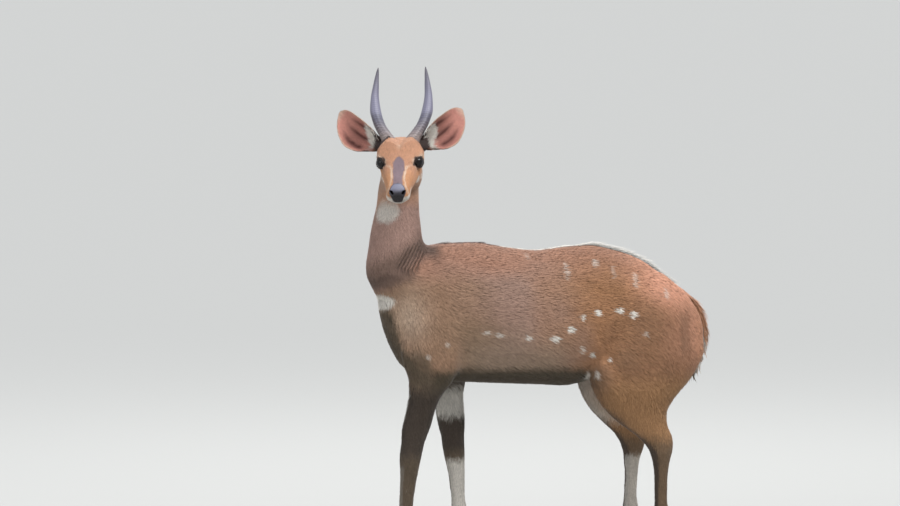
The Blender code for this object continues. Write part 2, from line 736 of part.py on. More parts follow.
def main():
    for thing in list(bpy.data.objects):
        bpy.data.objects.remove(thing)
    flesh = make_flesh()
    fine, middle, coarse = (thinned(flesh, count, "thin") for count in (FINE, MIDDLE, COARSE))
    part_head(fine)
    part_neck(middle)
    part_trunk(coarse)
    legs = cut(copy_of(middle, "legs"), Vector((0, 0, BODY_CUT_HEIGHT)), Vector((0, 0, 1)))
    for word, side in SIDES.items():
        line = smooth(FORE_LINE[word])(0.0)
        part_leg(legs, "fore_leg_" + word, line, side * FORE_LEG[-1][3], KNEE_CUT_HEIGHT)
        line = HIND_LINE + smooth(HIND_SWING[word])(0.0)
        part_leg(legs, "hind_leg_" + word, line, side * HIND_LEG[-1][3], HOCK_CUT_HEIGHT)
    for thing in (flesh, fine, middle, coarse, legs):
        remove(thing)
    stand_on_origin()


main()
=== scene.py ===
"""A young bushbuck ram as a life-size museum model: skin, coat, horns, eyes and hooves.

The ram faces -X with its left side towards -Y, and its head is turned to its left.
Lengths are in metres. Places on the body are given in the body's own frame, whose
origin lies on the floor under the trunk, and places on the head along its face, to its
left and out of the face, from a point midway between the eyes.
"""

import bmesh
import bpy
import numpy as np
from bpy.props import FloatProperty, FloatVectorProperty, PointerProperty
from math import cos, pi, radians, sin
from mathutils import Matrix, Vector
from mathutils.bvhtree import BVHTree
from mathutils.kdtree import KDTree


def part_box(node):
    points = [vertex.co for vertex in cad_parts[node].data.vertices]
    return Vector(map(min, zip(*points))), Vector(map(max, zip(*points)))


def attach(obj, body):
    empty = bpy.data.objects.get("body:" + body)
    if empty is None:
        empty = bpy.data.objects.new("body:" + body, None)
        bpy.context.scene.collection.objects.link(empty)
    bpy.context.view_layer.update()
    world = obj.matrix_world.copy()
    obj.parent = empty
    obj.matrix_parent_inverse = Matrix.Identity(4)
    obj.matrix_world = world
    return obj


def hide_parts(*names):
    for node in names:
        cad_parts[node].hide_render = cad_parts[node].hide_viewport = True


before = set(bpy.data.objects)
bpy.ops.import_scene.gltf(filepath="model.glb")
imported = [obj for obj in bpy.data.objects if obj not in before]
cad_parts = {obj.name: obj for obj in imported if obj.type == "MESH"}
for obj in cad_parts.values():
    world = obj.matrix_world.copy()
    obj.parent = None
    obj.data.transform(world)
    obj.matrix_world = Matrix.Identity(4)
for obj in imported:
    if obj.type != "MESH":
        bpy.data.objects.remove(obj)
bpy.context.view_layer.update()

bl_info = {
    "name": "Bushbuck ram",
    "version": (1, 0, 0),
    "blender": (4, 5, 0),
    "location": "3D View > Sidebar > Bushbuck",
    "description": "Builds the skin, coat, horns, eyes and hooves of a bushbuck ram",
    "category": "Object",
}

# -------- places taken from the frame

LEGS = tuple(f"{pair}_leg_{side}" for pair in ("fore", "hind") for side in ("left", "right"))
FLESH = ("head", "neck", "trunk", "tail", *(f"{leg}_{part}" for leg in LEGS for part in ("upper", "lower")))
EARS = ("ear_left", "ear_right")
SIDES = {"left": 1, "right": -1}
UP = Vector((0.0, 0.0, 1.0))


def middle(node):
    low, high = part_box(node)
    return (low + high) / 2


LEFT = (middle("eye_left") - middle("eye_right")).normalized()
HEADING = LEFT.cross(UP).normalized()
HEAD_SLOPE = radians(37)  # of the face, below level
EYE_AHEAD, EYE_PROUD = 0.01, 0.003


def head_axes():
    along = HEADING * cos(HEAD_SLOPE) - UP * sin(HEAD_SLOPE)
    along = (along - LEFT * along.dot(LEFT)).normalized()
    return Matrix((along, LEFT, along.cross(LEFT))).transposed()


HEAD_AXES = head_axes()
BETWEEN_EYES = (middle("eye_left") + middle("eye_right")) / 2
BETWEEN_EYES -= HEAD_AXES @ Vector((EYE_AHEAD, 0, EYE_PROUD))
EYE_RADIUS = (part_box("eye_left")[1].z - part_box("eye_left")[0].z) / 2
BODY_ORIGIN = BETWEEN_EYES - Vector((-0.357, -0.043, 0.97))
AXES = np.array(HEAD_AXES)
CENTRE = np.array(BETWEEN_EYES)


def on_head(points):
    """World points on the head's axes."""
    return (np.atleast_2d(points) - CENTRE) @ AXES


def on_body(points):
    return np.atleast_2d(points) - np.array(BODY_ORIGIN)


def from_head(place, side=1):
    """A way given on the head's left side, or on its right with side -1, in the world."""
    return HEAD_AXES @ Vector((place[0], side * place[1], place[2]))


def corners_of(node):
    return (np.array(corner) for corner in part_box(node))


# -------- small mathematics


def step(low, high, value):
    """A smooth rise from 0 at low to 1 at high."""
    t = np.clip((value - low) / (high - low), 0.0, 1.0)
    return t * t * (3 - 2 * t)


def bell(distance, width):
    return np.exp(-(distance / width) ** 2)


def norms(vectors):
    """The length of each vector."""
    return np.linalg.norm(vectors, axis=1)


def unit(ways):
    return ways / np.maximum(norms(ways), 1e-9)[:, None]


def curve(table, value):
    """A smooth curve through a short table of pairs, which never overshoots them."""
    knots, heights = (np.array([row[k] for row in table], float) for k in (0, 1))
    steps = np.diff(knots)
    slopes = np.diff(heights) / steps
    tangents = np.concatenate((slopes[:1], np.zeros(len(slopes) - 1), slopes[-1:]))
    same = np.nonzero(slopes[:-1] * slopes[1:] > 0)[0]
    tangents[same + 1] = 2 * slopes[same] * slopes[same + 1] / (slopes[same] + slopes[same + 1])
    value = np.clip(value, knots[0], knots[-1])
    k = np.clip(np.searchsorted(knots, value) - 1, 0, len(steps) - 1)
    u = (value - knots[k]) / steps[k]
    level = (2 * u ** 3 - 3 * u ** 2 + 1) * heights[k] + (3 * u ** 2 - 2 * u ** 3) * heights[k + 1]
    return level + ((u ** 3 - 2 * u ** 2 + u) * tangents[k] + (u ** 3 - u ** 2) * tangents[k + 1]) * steps[k]


def to_path(points, path):
    """Distance from each 2-D point to a path, and the share of the path's length there."""
    path = np.array(path, float)
    best = np.full(len(points), 1e9)
    share = np.zeros(len(points))
    lengths = norms(np.diff(path, axis=0))
    starts = np.concatenate(([0.0], np.cumsum(lengths)))
    for k, (a, b) in enumerate(zip(path, path[1:])):
        along = b - a
        t = np.clip(((points - a) @ along) / (along @ along), 0, 1)
        gap = norms(points - a - t[:, None] * along)
        nearer = gap < best
        best = np.where(nearer, gap, best)
        share = np.where(nearer, (starts[k] + t * lengths[k]) / starts[-1], share)
    return best, share


# -------- meshes as arrays


def object_of(name, points, faces):
    mesh = bpy.data.meshes.new(name)
    mesh.from_pydata([tuple(p) for p in points], [], [tuple(f) for f in faces])
    mesh.update()
    thing = bpy.data.objects.new(name, mesh)
    bpy.context.scene.collection.objects.link(thing)
    return thing


def points_of(mesh):
    points = np.empty(len(mesh.vertices) * 3, np.float32)
    mesh.vertices.foreach_get("co", points)
    return points.reshape(-1, 3).astype(float)


def put_points(mesh, points):
    mesh.vertices.foreach_set("co", np.asarray(points, np.float32).ravel())
    mesh.update()


def edges_of(mesh):
    edges = np.empty(len(mesh.edges) * 2, np.int32)
    mesh.edges.foreach_get("vertices", edges)
    return edges.reshape(-1, 2)


def triangles_of(mesh):
    mesh.calc_loop_triangles()
    faces = np.empty(len(mesh.loop_triangles) * 3, np.int32)
    mesh.loop_triangles.foreach_get("vertices", faces)
    return faces.reshape(-1, 3)


def normals_of(points, triangles):
    a, b, c = (points[triangles[:, k]] for k in range(3))
    flat = np.cross(b - a, c - a)
    total = np.zeros_like(points)
    for axis in range(3):
        for k in range(3):
            total[:, axis] += np.bincount(triangles[:, k], flat[:, axis], len(points))
    return total / np.maximum(norms(total), 1e-12)[:, None]


def relaxed(points, edges, rounds, strength=0.5, keep=0.53):
    """Smooth without shrinking: each round pulls points together, then pushes them apart."""
    strength = np.broadcast_to(np.asarray(strength, float), (len(points),))[:, None]
    count = np.bincount(edges.ravel(), minlength=len(points)).astype(float)[:, None]
    points = points.copy()
    for _ in range(rounds):
        for factor in (strength, -strength * keep / 0.5) if keep else (strength,):
            total = np.empty_like(points)
            for axis in range(3):
                total[:, axis] = (np.bincount(edges[:, 0], points[edges[:, 1], axis], len(points))
                                  + np.bincount(edges[:, 1], points[edges[:, 0], axis], len(points)))
            points += factor * (total / count - points)
    return points


def settled(thing):
    """Apply an object's modifiers."""
    graph = bpy.context.evaluated_depsgraph_get()
    mesh = bpy.data.meshes.new_from_object(thing.evaluated_get(graph))
    thing.modifiers.clear()
    thing.data = mesh
    return thing


def loft(rings):
    """Points and faces of a closed skin over a run of equal rings."""
    count = len(rings[0])
    points = [p for ring in rings for p in ring]
    faces = []
    for row in range(len(rings) - 1):
        for k in range(count):
            n = (k + 1) % count
            faces.append((row * count + k, row * count + n, (row + 1) * count + n, (row + 1) * count + k))
    faces.append(tuple(range(count))[::-1])
    faces.append(tuple(range((len(rings) - 1) * count, len(rings) * count)))
    return points, faces


# -------- skin: the bare shape

CUT_OVERLAP = 0.0004  # each solid grows by this, to close the cuts between them
HOOF_CORE = 0.003  # how deep inside a hoof the flesh ends
CORE_VOXEL = 0.0064
UNDERCOAT = 0.9  # shade of the skin against its hair

# Flesh that closes the pockets of the horns, ears and eyes: place on the head, radii
HEAD_FILLERS = (
    ((-0.068, 0.036, -0.008), (0.025, 0.025, 0.023)),
    ((-0.05, 0.027, 0.006), (0.023, 0.021, 0.019)),
    ((-0.004, 0.038, 0.002), (0.025, 0.0185, 0.0195)),
)


def add_solid(bm, mesh, growth):
    solid = mesh.copy()
    points = points_of(solid)
    put_points(solid, points + normals_of(points, triangles_of(solid)) * growth)
    bm.from_mesh(solid)
    bpy.data.meshes.remove(solid)


def make_core():
    """The whole body as one closed mesh, out to the coat, without horns, ears or hooves."""
    bm = bmesh.new()
    for node in FLESH:
        add_solid(bm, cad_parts[node].data, CUT_OVERLAP)
    for leg in LEGS:
        for claw in ("inner", "outer"):
            add_solid(bm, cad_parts[f"{leg}_claw_{claw}"].data, -HOOF_CORE)
    for place, radii in HEAD_FILLERS:
        for side in (1, -1):
            egg = Matrix.Translation(BETWEEN_EYES + from_head(place, side)) @ HEAD_AXES.to_4x4()
            egg = egg @ Matrix.Diagonal((*radii, 1.0))
            bmesh.ops.create_icosphere(bm, subdivisions=3, radius=1.0, matrix=egg)
    mesh = bpy.data.meshes.new("skin")
    bm.to_mesh(mesh)
    bm.free()
    core = bpy.data.objects.new("skin", mesh)
    bpy.context.scene.collection.objects.link(core)
    voxels = core.modifiers.new("union", "REMESH")
    voxels.mode = "VOXEL"
    voxels.voxel_size = CORE_VOXEL
    return settled(core)


# Depth of the coat: named places on the body, each with its depth
COAT_DEPTH = {"trunk": 0.0042, "belly": 0.0055, "neck": 0.0026, "head": 0.0016, "muzzle": 0.0007,
              "leg": 0.0016, "tail": 0.0085}


def coat_depth(points):
    """How far the hair stands off the skin."""
    body, head = on_body(points), on_head(points)
    depth = np.full(len(points), COAT_DEPTH["trunk"])

    def blend(weight, name):
        nonlocal depth
        depth = depth + (COAT_DEPTH[name] - depth) * weight

    blend(step(0.47, 0.41, body[:, 2]), "belly")
    blend(step(0.7, 0.78, body[:, 2] - 0.9 * (body[:, 0] + 0.3)), "neck")
    blend(step(0.4, 0.3, body[:, 2]), "leg")
    on_skull = step(0.885, 0.925, body[:, 2])
    blend(on_skull, "head")
    blend(on_skull * step(0.02, 0.08, head[:, 0]), "muzzle")
    tail_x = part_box("tail")[0].x
    behind = step(tail_x + 0.045, tail_x + 0.075, points[:, 0]) * step(0.03, 0.018, np.abs(body[:, 1]))
    blend(behind * step(0.6, 0.57, body[:, 2]), "tail")
    return depth


# -------- ears

EAR_ROOT = Vector((-0.068, 0.05, -0.01))
EAR_TIP = Vector((0.101, 0.0845, -0.025))  # outwards, up and ahead of the root
EAR_BEND = Vector((0.067, 0.027, -0.003))
EAR_REACH = {"left": 0.965, "right": 1.065}
EAR_FACES_OUT = 0.22
EAR_SKIN = 0.003  # thickness of the ear without its hair
EAR_CUP = ((0.0, 0.0125, 150.0), (0.14, 0.0225, 114.0), (0.32, 0.035, 88.0), (0.52, 0.0395, 78.0),
           (0.68, 0.0385, 64.0), (0.82, 0.0385, 46.0), (0.93, 0.0385, 26.0), (1.0, 0.038, 5.0))
EAR_ROWS, EAR_COLUMNS = 46, 30


class Ear:
    """The curved leaf of one ear, with a point for each share of its length and its width."""

    def __init__(self, word):
        side = SIDES[word]
        out = LEFT * side
        lay = Matrix((out * EAR_REACH[word], UP, HEADING)).transposed()
        self.side = side
        self.root = BETWEEN_EYES + from_head(EAR_ROOT, side)
        self.tip, self.bend = lay @ EAR_TIP, lay @ EAR_BEND
        along = self.tip.normalized()
        facing = (HEADING + out * EAR_FACES_OUT).normalized()
        self.facing = (facing - along * facing.dot(along)).normalized()
        self.chord = along.cross(self.facing)

    def place(self, share, across, offset):
        """A point share of the way up, across from -1 to 1, offset outwards from mid thickness."""
        radius = float(curve([(row[0], row[1]) for row in EAR_CUP], share))
        half = radians(float(curve([(row[0], row[2]) for row in EAR_CUP], share)))
        back = self.root + self.bend * (2 * share * (1 - share)) + self.tip * share ** 2
        back = back - self.facing * EAR_CUP[0][1]
        reach, angle = radius + offset, across * half
        return back + self.chord * (reach * sin(angle)) + self.facing * (radius - reach * cos(angle))


def ear_relief(share, across):
    """Height of the pale ridges inside the cup, with hollows between them."""
    spread = 0.35 + 0.65 * share
    ridges = 0.5 + 0.5 * cos(across / spread * 2.6 * pi)
    return 0.0011 * ridges * step(0.1, 0.28, share) * step(0.92, 0.7, share) * step(1.0, 0.75, abs(across))


def make_ear(word):
    ear = Ear(word)
    rings = []
    for row in range(EAR_ROWS + 1):
        share = 1 - (1 - row / EAR_ROWS) ** 1.25
        outer, inner = [], []
        for k in range(EAR_COLUMNS + 1):
            across = -cos(pi * k / EAR_COLUMNS)
            rounding = max(0.0, 1 - across ** 2) ** 0.35 * float(step(1.0, 0.97, share) * 0.6 + 0.4)
            half = EAR_SKIN / 2 * rounding
            outer.append(ear.place(share, across, half))
            if 0 < k < EAR_COLUMNS:
                inner.append(ear.place(share, across, -half - float(ear_relief(share, across))))
        rings.append(outer + inner[::-1])
    return object_of("ear_" + word, *loft(rings))


# -------- skin: finer where the form is fine

# Longest edges of the skin at its finer places; KEEP_EDGE leaves a place alone
FINE_FACE, FINE_FEATURE, FINE_LID = 0.0026, 0.0014, 0.00095
FINE_HOOF, FINE_FOLDS, KEEP_EDGE = 0.0044, 0.0025, 1.0


def wanted_edge(points):
    """The longest edge that each place should have."""
    body, head = on_body(points), on_head(points)
    wanted = np.full(len(points), KEEP_EDGE)
    wanted[body[:, 2] < 0.1] = FINE_HOOF
    folds = (np.abs(body[:, 0] + 0.325) < 0.065) & (np.abs(body[:, 2] - 0.738) < 0.052)
    wanted[folds & (body[:, 1] < -0.02)] = FINE_FOLDS
    wanted[(head[:, 0] > -0.105) & (body[:, 2] > 0.885)] = FINE_FACE
    wanted[(np.abs(head[:, 1]) > 0.06) & (head[:, 0] < -0.02)] = KEEP_EDGE
    muzzle = (head[:, 0] > 0.08) & (body[:, 2] > 0.85)
    wanted[muzzle] = FINE_FEATURE
    for eye, near in near_eyes(points, EYE_RADIUS + 0.0085):
        edge = eye.outside(points[near])
        wanted[near[(edge > -0.0035) & (edge < 0.0065)]] = FINE_LID
    return wanted


def refine(thing, rounds=4):
    """Split edges that are longer than their place wants, a round at a time."""
    for _ in range(rounds):
        bm = bmesh.new()
        bm.from_mesh(thing.data)
        bm.verts.ensure_lookup_table()
        points = np.array([v.co for v in bm.verts])
        ends = edges_of(thing.data)
        length = norms(points[ends[:, 0]] - points[ends[:, 1]])
        wanted = wanted_edge(points)
        split = length > np.maximum(wanted[ends[:, 0]], wanted[ends[:, 1]])
        bm.edges.ensure_lookup_table()
        chosen = [bm.edges[k] for k in np.nonzero(split)[0]]
        bmesh.ops.subdivide_edges(bm, edges=chosen, cuts=1, use_grid_fill=True)
        bmesh.ops.triangulate(bm, faces=[f for f in bm.faces if len(f.verts) > 4])
        bm.to_mesh(thing.data)
        bm.free()
        thing.data.update()
    return thing


def ear_places(points, ears):
    """For each point: its distance from an ear's leaf, share, place across, side, and 1 inside the cup."""
    rows, spots, outwards = [], [], []
    for word, ear in ears.items():
        for row in range(EAR_ROWS + 1):
            share = row / EAR_ROWS
            for k in range(EAR_COLUMNS + 1):
                across = 2 * k / EAR_COLUMNS - 1
                spots.append(ear.place(share, across, 0.0))
                outwards.append(ear.place(share, across, 1.0) - spots[-1])
                rows.append((share, across, SIDES[word]))
    tree = KDTree(len(spots))
    for number, spot in enumerate(spots):
        tree.insert(spot, number)
    tree.balance()
    found = np.zeros((len(points), 5))
    found[:, 0] = 1.0
    near = np.nonzero((on_head(points)[:, 0] < -0.02) & (on_body(points)[:, 2] > 0.94))[0]
    for k in near:
        spot, index, gap = tree.find(points[k])
        inner = (Vector(points[k]) - spot).dot(outwards[index]) < 0
        found[k] = (gap, *rows[index], float(inner))
    return found


# -------- skin: the face

EYE_AXIS = Vector((0.7, 0.65, 0.28))  # the way the left eye looks, on the head's axes
EYE_TILT = radians(8)  # of the line between its corners, from the face line
EYE_LONG, EYE_UPPER, EYE_LOWER = 1.1, 0.86, 0.7  # half angles of the opening, in radians
EYE_STEPS = 26
EYE_SET = Vector((0.0, -0.002, 0.0012))  # how the eyes sit in their sockets: inwards and up
LID, LID_PROUD = 0.0014, 0.0022  # thickness, and how far the lids stand off the ball
LID_SNAP, LID_PROBE = 0.0008, 0.0003  # reach of the points moved onto the opening's edge, trial step
LID_CREASE = 0.0052  # above the upper lid
LID_REACH = 0.0125  # how far round the opening the skin follows the ball
LID_SOFTNESS = 0.0026  # of the bend where the lid meets the face
BEHIND_EYE = 0.003  # where the skin passes under the eyeball


class EyeFrame:
    """One eye's centre and directions: towards its inner corner, up, and outwards."""

    def __init__(self, word):
        side = SIDES[word]
        out = Vector((EYE_AXIS.x, side * EYE_AXIS.y, EYE_AXIS.z)).normalized()
        inner = Vector((cos(EYE_TILT), 0, sin(EYE_TILT)))
        inner = (inner - out * inner.dot(out)).normalized()
        over = (out.cross(inner) * -side).normalized()
        self.side = side
        self.centre = np.array(middle("eye_" + word) + from_head(EYE_SET, side))
        self.axes = np.array([HEAD_AXES @ inner, HEAD_AXES @ over, HEAD_AXES @ out]).T
        steps = -np.cos(np.linspace(0, pi, EYE_STEPS)) * EYE_LONG
        upper, lower = self.opening(steps)
        self.outline = np.concatenate((np.stack([steps, upper], 1), np.stack([steps, -lower], 1)[-2::-1]))

    def opening(self, across):
        """Angles of the upper and the lower lid, for angles across."""
        t = np.clip(np.abs(across) / EYE_LONG, 0, 1)
        room = 1 - t ** np.where(across > 0, 1.3, 1.8)
        return EYE_UPPER * room ** 0.62, EYE_LOWER * room ** 0.75

    def angles(self, points):
        """Angles towards the inner corner and upwards, the distance, and the share outwards."""
        local = (points - self.centre) @ self.axes
        distance = norms(local)
        across = np.arctan2(local[:, 0], np.maximum(local[:, 2], 1e-6))
        rise = np.arcsin(np.clip(local[:, 1] / distance, -1, 1))
        return across, rise, distance, local[:, 2] / distance

    def outside(self, points):
        """Distance outside the edge of the lids, along the ball; less than 0 in the opening."""
        across, rise, _, _ = self.angles(points)
        gap, _ = to_path(np.stack([across, rise], 1), self.outline)
        upper, lower = self.opening(across)
        inside = (np.abs(across) < EYE_LONG) & (rise < upper) & (rise > -lower)
        return np.where(inside, -gap, gap) * EYE_RADIUS

    def clear(self, points):
        """Distance from the opening through the air: more than outside where the skin stands off the ball."""
        edge = self.outside(points)
        off = norms(points - self.centre) - EYE_RADIUS - LID_PROUD
        return np.where(off > 0, np.hypot(np.maximum(edge, 0), off), edge)


def near_eyes(points, reach):
    """Each eye, and the numbers of the points within reach of its centre."""
    for word in SIDES:
        eye = EyeFrame(word)
        yield eye, np.nonzero(norms(points - eye.centre) < reach)[0]


def seat_eyes(points):
    """Wrap the skin round the eyeballs, with lids, and open it in front of them."""
    for word in SIDES:
        eye = EyeFrame(word)
        _, _, distance, forward = eye.angles(points)
        zone = np.nonzero((distance < EYE_RADIUS + 0.02) & (forward > -0.1))[0]
        near = points[zone]
        edge = eye.outside(near)
        snap = np.abs(edge) < LID_SNAP
        slope = [(eye.outside(near + LID_PROBE * eye.axes[:, k]) - edge) / LID_PROBE for k in range(2)]
        slope = np.stack(slope, 1)
        steep = np.maximum(norms(slope), 0.4)[:, None]
        shift = -(edge[:, None] * slope / steep ** 2) @ eye.axes[:, :2].T
        near = near + shift * snap[:, None]
        away = near - eye.centre
        distance = norms(away)
        edge = eye.outside(near)
        above = step(-0.1, 0.4, (away @ eye.axes[:, 1]) / distance)
        rim = EYE_RADIUS + LID * (0.4 + 0.6 * step(0.0, 0.0014, edge))
        ball = rim + 0.1 * np.clip(edge - 0.0014, 0, 0.004) - 0.6 * np.maximum(edge - 0.0045, 0)
        merged = 0.5 * (distance + ball + np.sqrt((distance - ball) ** 2 + LID_SOFTNESS ** 2))
        merged -= 0.0009 * bell(edge - LID_CREASE, 0.001) * above
        blend = step(0.0012, 0.0062, edge)
        shell = rim * (1 - blend) + merged * blend
        inside = step(-0.0002, -0.0011, edge)
        reach = shell * (1 - inside) + (EYE_RADIUS - BEHIND_EYE) * inside
        fade = step(LID_REACH + 0.006, LID_REACH, edge) * step(-0.1, 0.1, forward[zone])
        reach = distance + (reach - distance) * fade
        points[zone] = eye.centre + away / distance[:, None] * reach[:, None]
    return points


PAD = ((-0.0955, 0.0), (-0.094, 0.0085), (-0.09, 0.012), (-0.084, 0.0145), (-0.076, 0.0182),
       (-0.07, 0.0205), (-0.064, 0.0192), (-0.056, 0.0158), (-0.05, 0.0095), (-0.0478, 0.0))
NOSTRIL = ((0.0132, -0.0722), (0.015, -0.069), (0.0182, -0.0662), (0.02, -0.0668))
NOSTRIL_GIRTH = ((0.0, 0.0034), (0.35, 0.0036), (0.7, 0.0021), (1.0, 0.001))
NOSTRIL_DEPTH = 0.0085
MOUTH = ((0.155, -0.012), (0.1375, -0.0128), (0.128, -0.0152), (0.112, -0.017), (0.096, -0.0152),
         (0.082, -0.0108))


def level_on_head(head):
    """Height of a place on the head above the eyes' middle, as seen from in front."""
    return head[:, 2] * cos(HEAD_SLOPE) - head[:, 0] * sin(HEAD_SLOPE)


def pad_inside(head):
    """Distance inside the edge of the bare nose, less than 0 outside it."""
    low = level_on_head(head)
    half = curve(PAD, low)
    inside = np.minimum(half - np.abs(head[:, 1]), np.minimum(low - PAD[0][0], PAD[-1][0] - low))
    return np.where(head[:, 0] > 0.09, inside, -1.0)


def nostril_gap(head):
    """Distance from the nostril's outline, less than 0 in the hole."""
    front = np.stack([np.abs(head[:, 1]), level_on_head(head)], 1)
    gap, share = to_path(front, NOSTRIL)
    gap = gap - curve(NOSTRIL_GIRTH, share)
    return np.where(head[:, 0] > 0.1, gap, 1.0)


def mouth_gap(head):
    """Distance from the line between the lips, and the share of the way to its corner."""
    gap, share = to_path(head[:, [0, 2]], MOUTH)
    return np.where(head[:, 0] > 0.07, gap, 1.0), share


def shape_muzzle(points, triangles):
    normals = normals_of(points, triangles)
    head = on_head(points)
    pad = pad_inside(head)
    move = normals * (0.0006 * step(-0.0006, 0.001, pad))[:, None]
    gap, share = mouth_gap(head)
    fade = step(1.0, 0.86, share)
    lip = 0.0019 * bell(gap, 0.001) - 0.0007 * bell(gap - 0.0036, 0.0026)
    move -= normals * (lip * fade)[:, None]
    philtrum = bell(head[:, 1], 0.0009) * step(-0.07, -0.078, level_on_head(head)) * (pad > 0)
    move -= normals * (0.001 * philtrum)[:, None]
    wing = bell(nostril_gap(head) - 0.0012, 0.0016)
    move += normals * (0.0008 * wing)[:, None]
    chin = bell(head[:, 0] - 0.119, 0.01) * step(-0.018, -0.026, head[:, 2])
    move += normals * (0.0012 * chin)[:, None]
    points = points + move
    head = on_head(points)
    hole = step(0.0004, -0.0016, nostril_gap(head))
    side = np.sign(head[:, 1])
    inwards = np.stack([np.full(len(head), -0.8), -0.42 * side, np.full(len(head), -0.38)], 1) @ AXES.T
    return points + inwards * (NOSTRIL_DEPTH * hole)[:, None]


# -------- skin: round the horns

HORN_ROOT = Vector((-0.054, 0.027, 0.021))
HORN_RISE = radians(61)  # above level, leaning back
HORN_LENGTH, HORN_SUNK = 0.198, 0.034
HORN_GIRTH = ((0.0, 0.018), (0.12, 0.016), (0.3, 0.0148), (0.42, 0.0138), (0.6, 0.01),
              (0.8, 0.0065), (0.95, 0.0034), (1.0, 0.0012))
HORN_SPREAD = ((0.0, 0.0), (0.1, 0.012), (0.25, 0.027), (0.45, 0.037), (0.62, 0.039),
               (0.8, 0.036), (1.0, 0.031))
HORN_ROOT_LEAN = 0.1
# How far up the horns the skin reaches in front, behind and on the outer side, and how it gets there
PEDICLE_TOP, PEDICLE_BACK, PEDICLE_OUTER = -0.002, -0.012, -0.009
PEDICLE_SLOPE, PEDICLE_SOFTNESS, PEDICLE_REACH, PEDICLE_ROUNDS = 1.6, 0.005, 0.06, 6


def horn_frame(word):
    """A horn's root, and its ways outwards, backwards and along."""
    side = SIDES[word]
    out = LEFT * side
    rise = -HEADING * cos(HORN_RISE) + UP * sin(HORN_RISE)
    rise = (rise - out * rise.dot(out)).normalized()
    back = out.cross(rise) * (1 if out.cross(rise).dot(HEADING) < 0 else -1)
    root = BETWEEN_EYES + from_head(HORN_ROOT, side)
    return root, out, back, rise


def beside_horn(points, word, lift=0.0):
    """Distance outside a horn's surface, height along it, and how far behind and outwards each place lies."""
    root, out, back, rise = (np.array(v) for v in horn_frame(word))
    local = points - root
    height = local @ rise + lift
    share = np.maximum(height, 0) / HORN_LENGTH
    centre = curve(HORN_SPREAD, share) + HORN_ROOT_LEAN * np.minimum(height, 0)
    across, behind = local @ out - centre, local @ back
    reach = np.maximum(np.hypot(across, behind), 1e-6)
    return reach - curve(HORN_GIRTH, share), height, behind / reach, across / reach


def heap_pedicles(points):
    """Heap the skin up round the horns' feet."""
    for word in SIDES:
        root, _, _, rise = (np.array(v) for v in horn_frame(word))
        zone = np.nonzero(norms(points - root) < PEDICLE_REACH)[0]
        near, lift = points[zone], np.zeros(len(zone))
        start = beside_horn(near, word)[1]
        for _ in range(PEDICLE_ROUNDS):
            gap, _, behind, outer = beside_horn(near, word, lift)
            top = PEDICLE_TOP + (PEDICLE_OUTER - PEDICLE_TOP) * step(0.1, 0.9, outer)
            top = top + (PEDICLE_BACK - top) * step(-0.2, 0.8, behind)
            wanted = top - PEDICLE_SLOPE * np.maximum(gap, 0) - start
            lift = 0.5 * (wanted + np.sqrt(wanted ** 2 + PEDICLE_SOFTNESS ** 2))
        lift *= step(0.0004, 0.004, lift) * step(0.05, 0.035, gap)
        points[zone] = near + rise * lift[:, None]
    return points


# -------- skin: the head's relief

# Hollows and swellings of the head: place (left side), radii, height
HEAD_FORMS = (
    ((0.027, 0.042, -0.001), (0.017, 0.012, 0.013), -0.0065),  # in front of the eye
    ((-0.03, 0.052, 0.004), (0.012, 0.015, 0.01), -0.0016),  # temple
    ((0.004, 0.0, 0.034), (0.024, 0.01, 0.015), -0.001),  # between the brows
    ((0.05, 0.036, -0.026), (0.03, 0.012, 0.008), 0.0012),  # cheek bone
    ((0.062, 0.034, -0.034), (0.03, 0.012, 0.007), -0.0014),  # below it
    ((0.03, 0.0, -0.064), (0.06, 0.009, 0.016), -0.003),  # between the jaws
    ((0.093, 0.031, 0.002), (0.014, 0.012, 0.006), -0.001),  # behind the nostril
    ((-0.035, 0.045, -0.055), (0.024, 0.014, 0.022), 0.0016),  # cheek muscle
    ((-0.06, 0.0, 0.026), (0.014, 0.01, 0.014), 0.0015),  # poll
    ((0.124, 0.019, -0.008), (0.017, 0.011, 0.01), 0.004),  # upper lip
    ((0.118, 0.01, -0.03), (0.014, 0.014, 0.008), 0.002),  # chin
)


def shape_head(points, triangles):
    normals = normals_of(points, triangles)
    head = on_head(points)
    rise = np.zeros(len(points))
    for place, radii, height in HEAD_FORMS:
        for side in (1, -1) if place[1] else (1,):
            gap = (head - np.array((place[0], side * place[1], place[2]))) / np.array(radii)
            rise += height * np.exp(-(gap ** 2).sum(1))
    return points + normals * rise[:, None]


# -------- skin: the body's relief

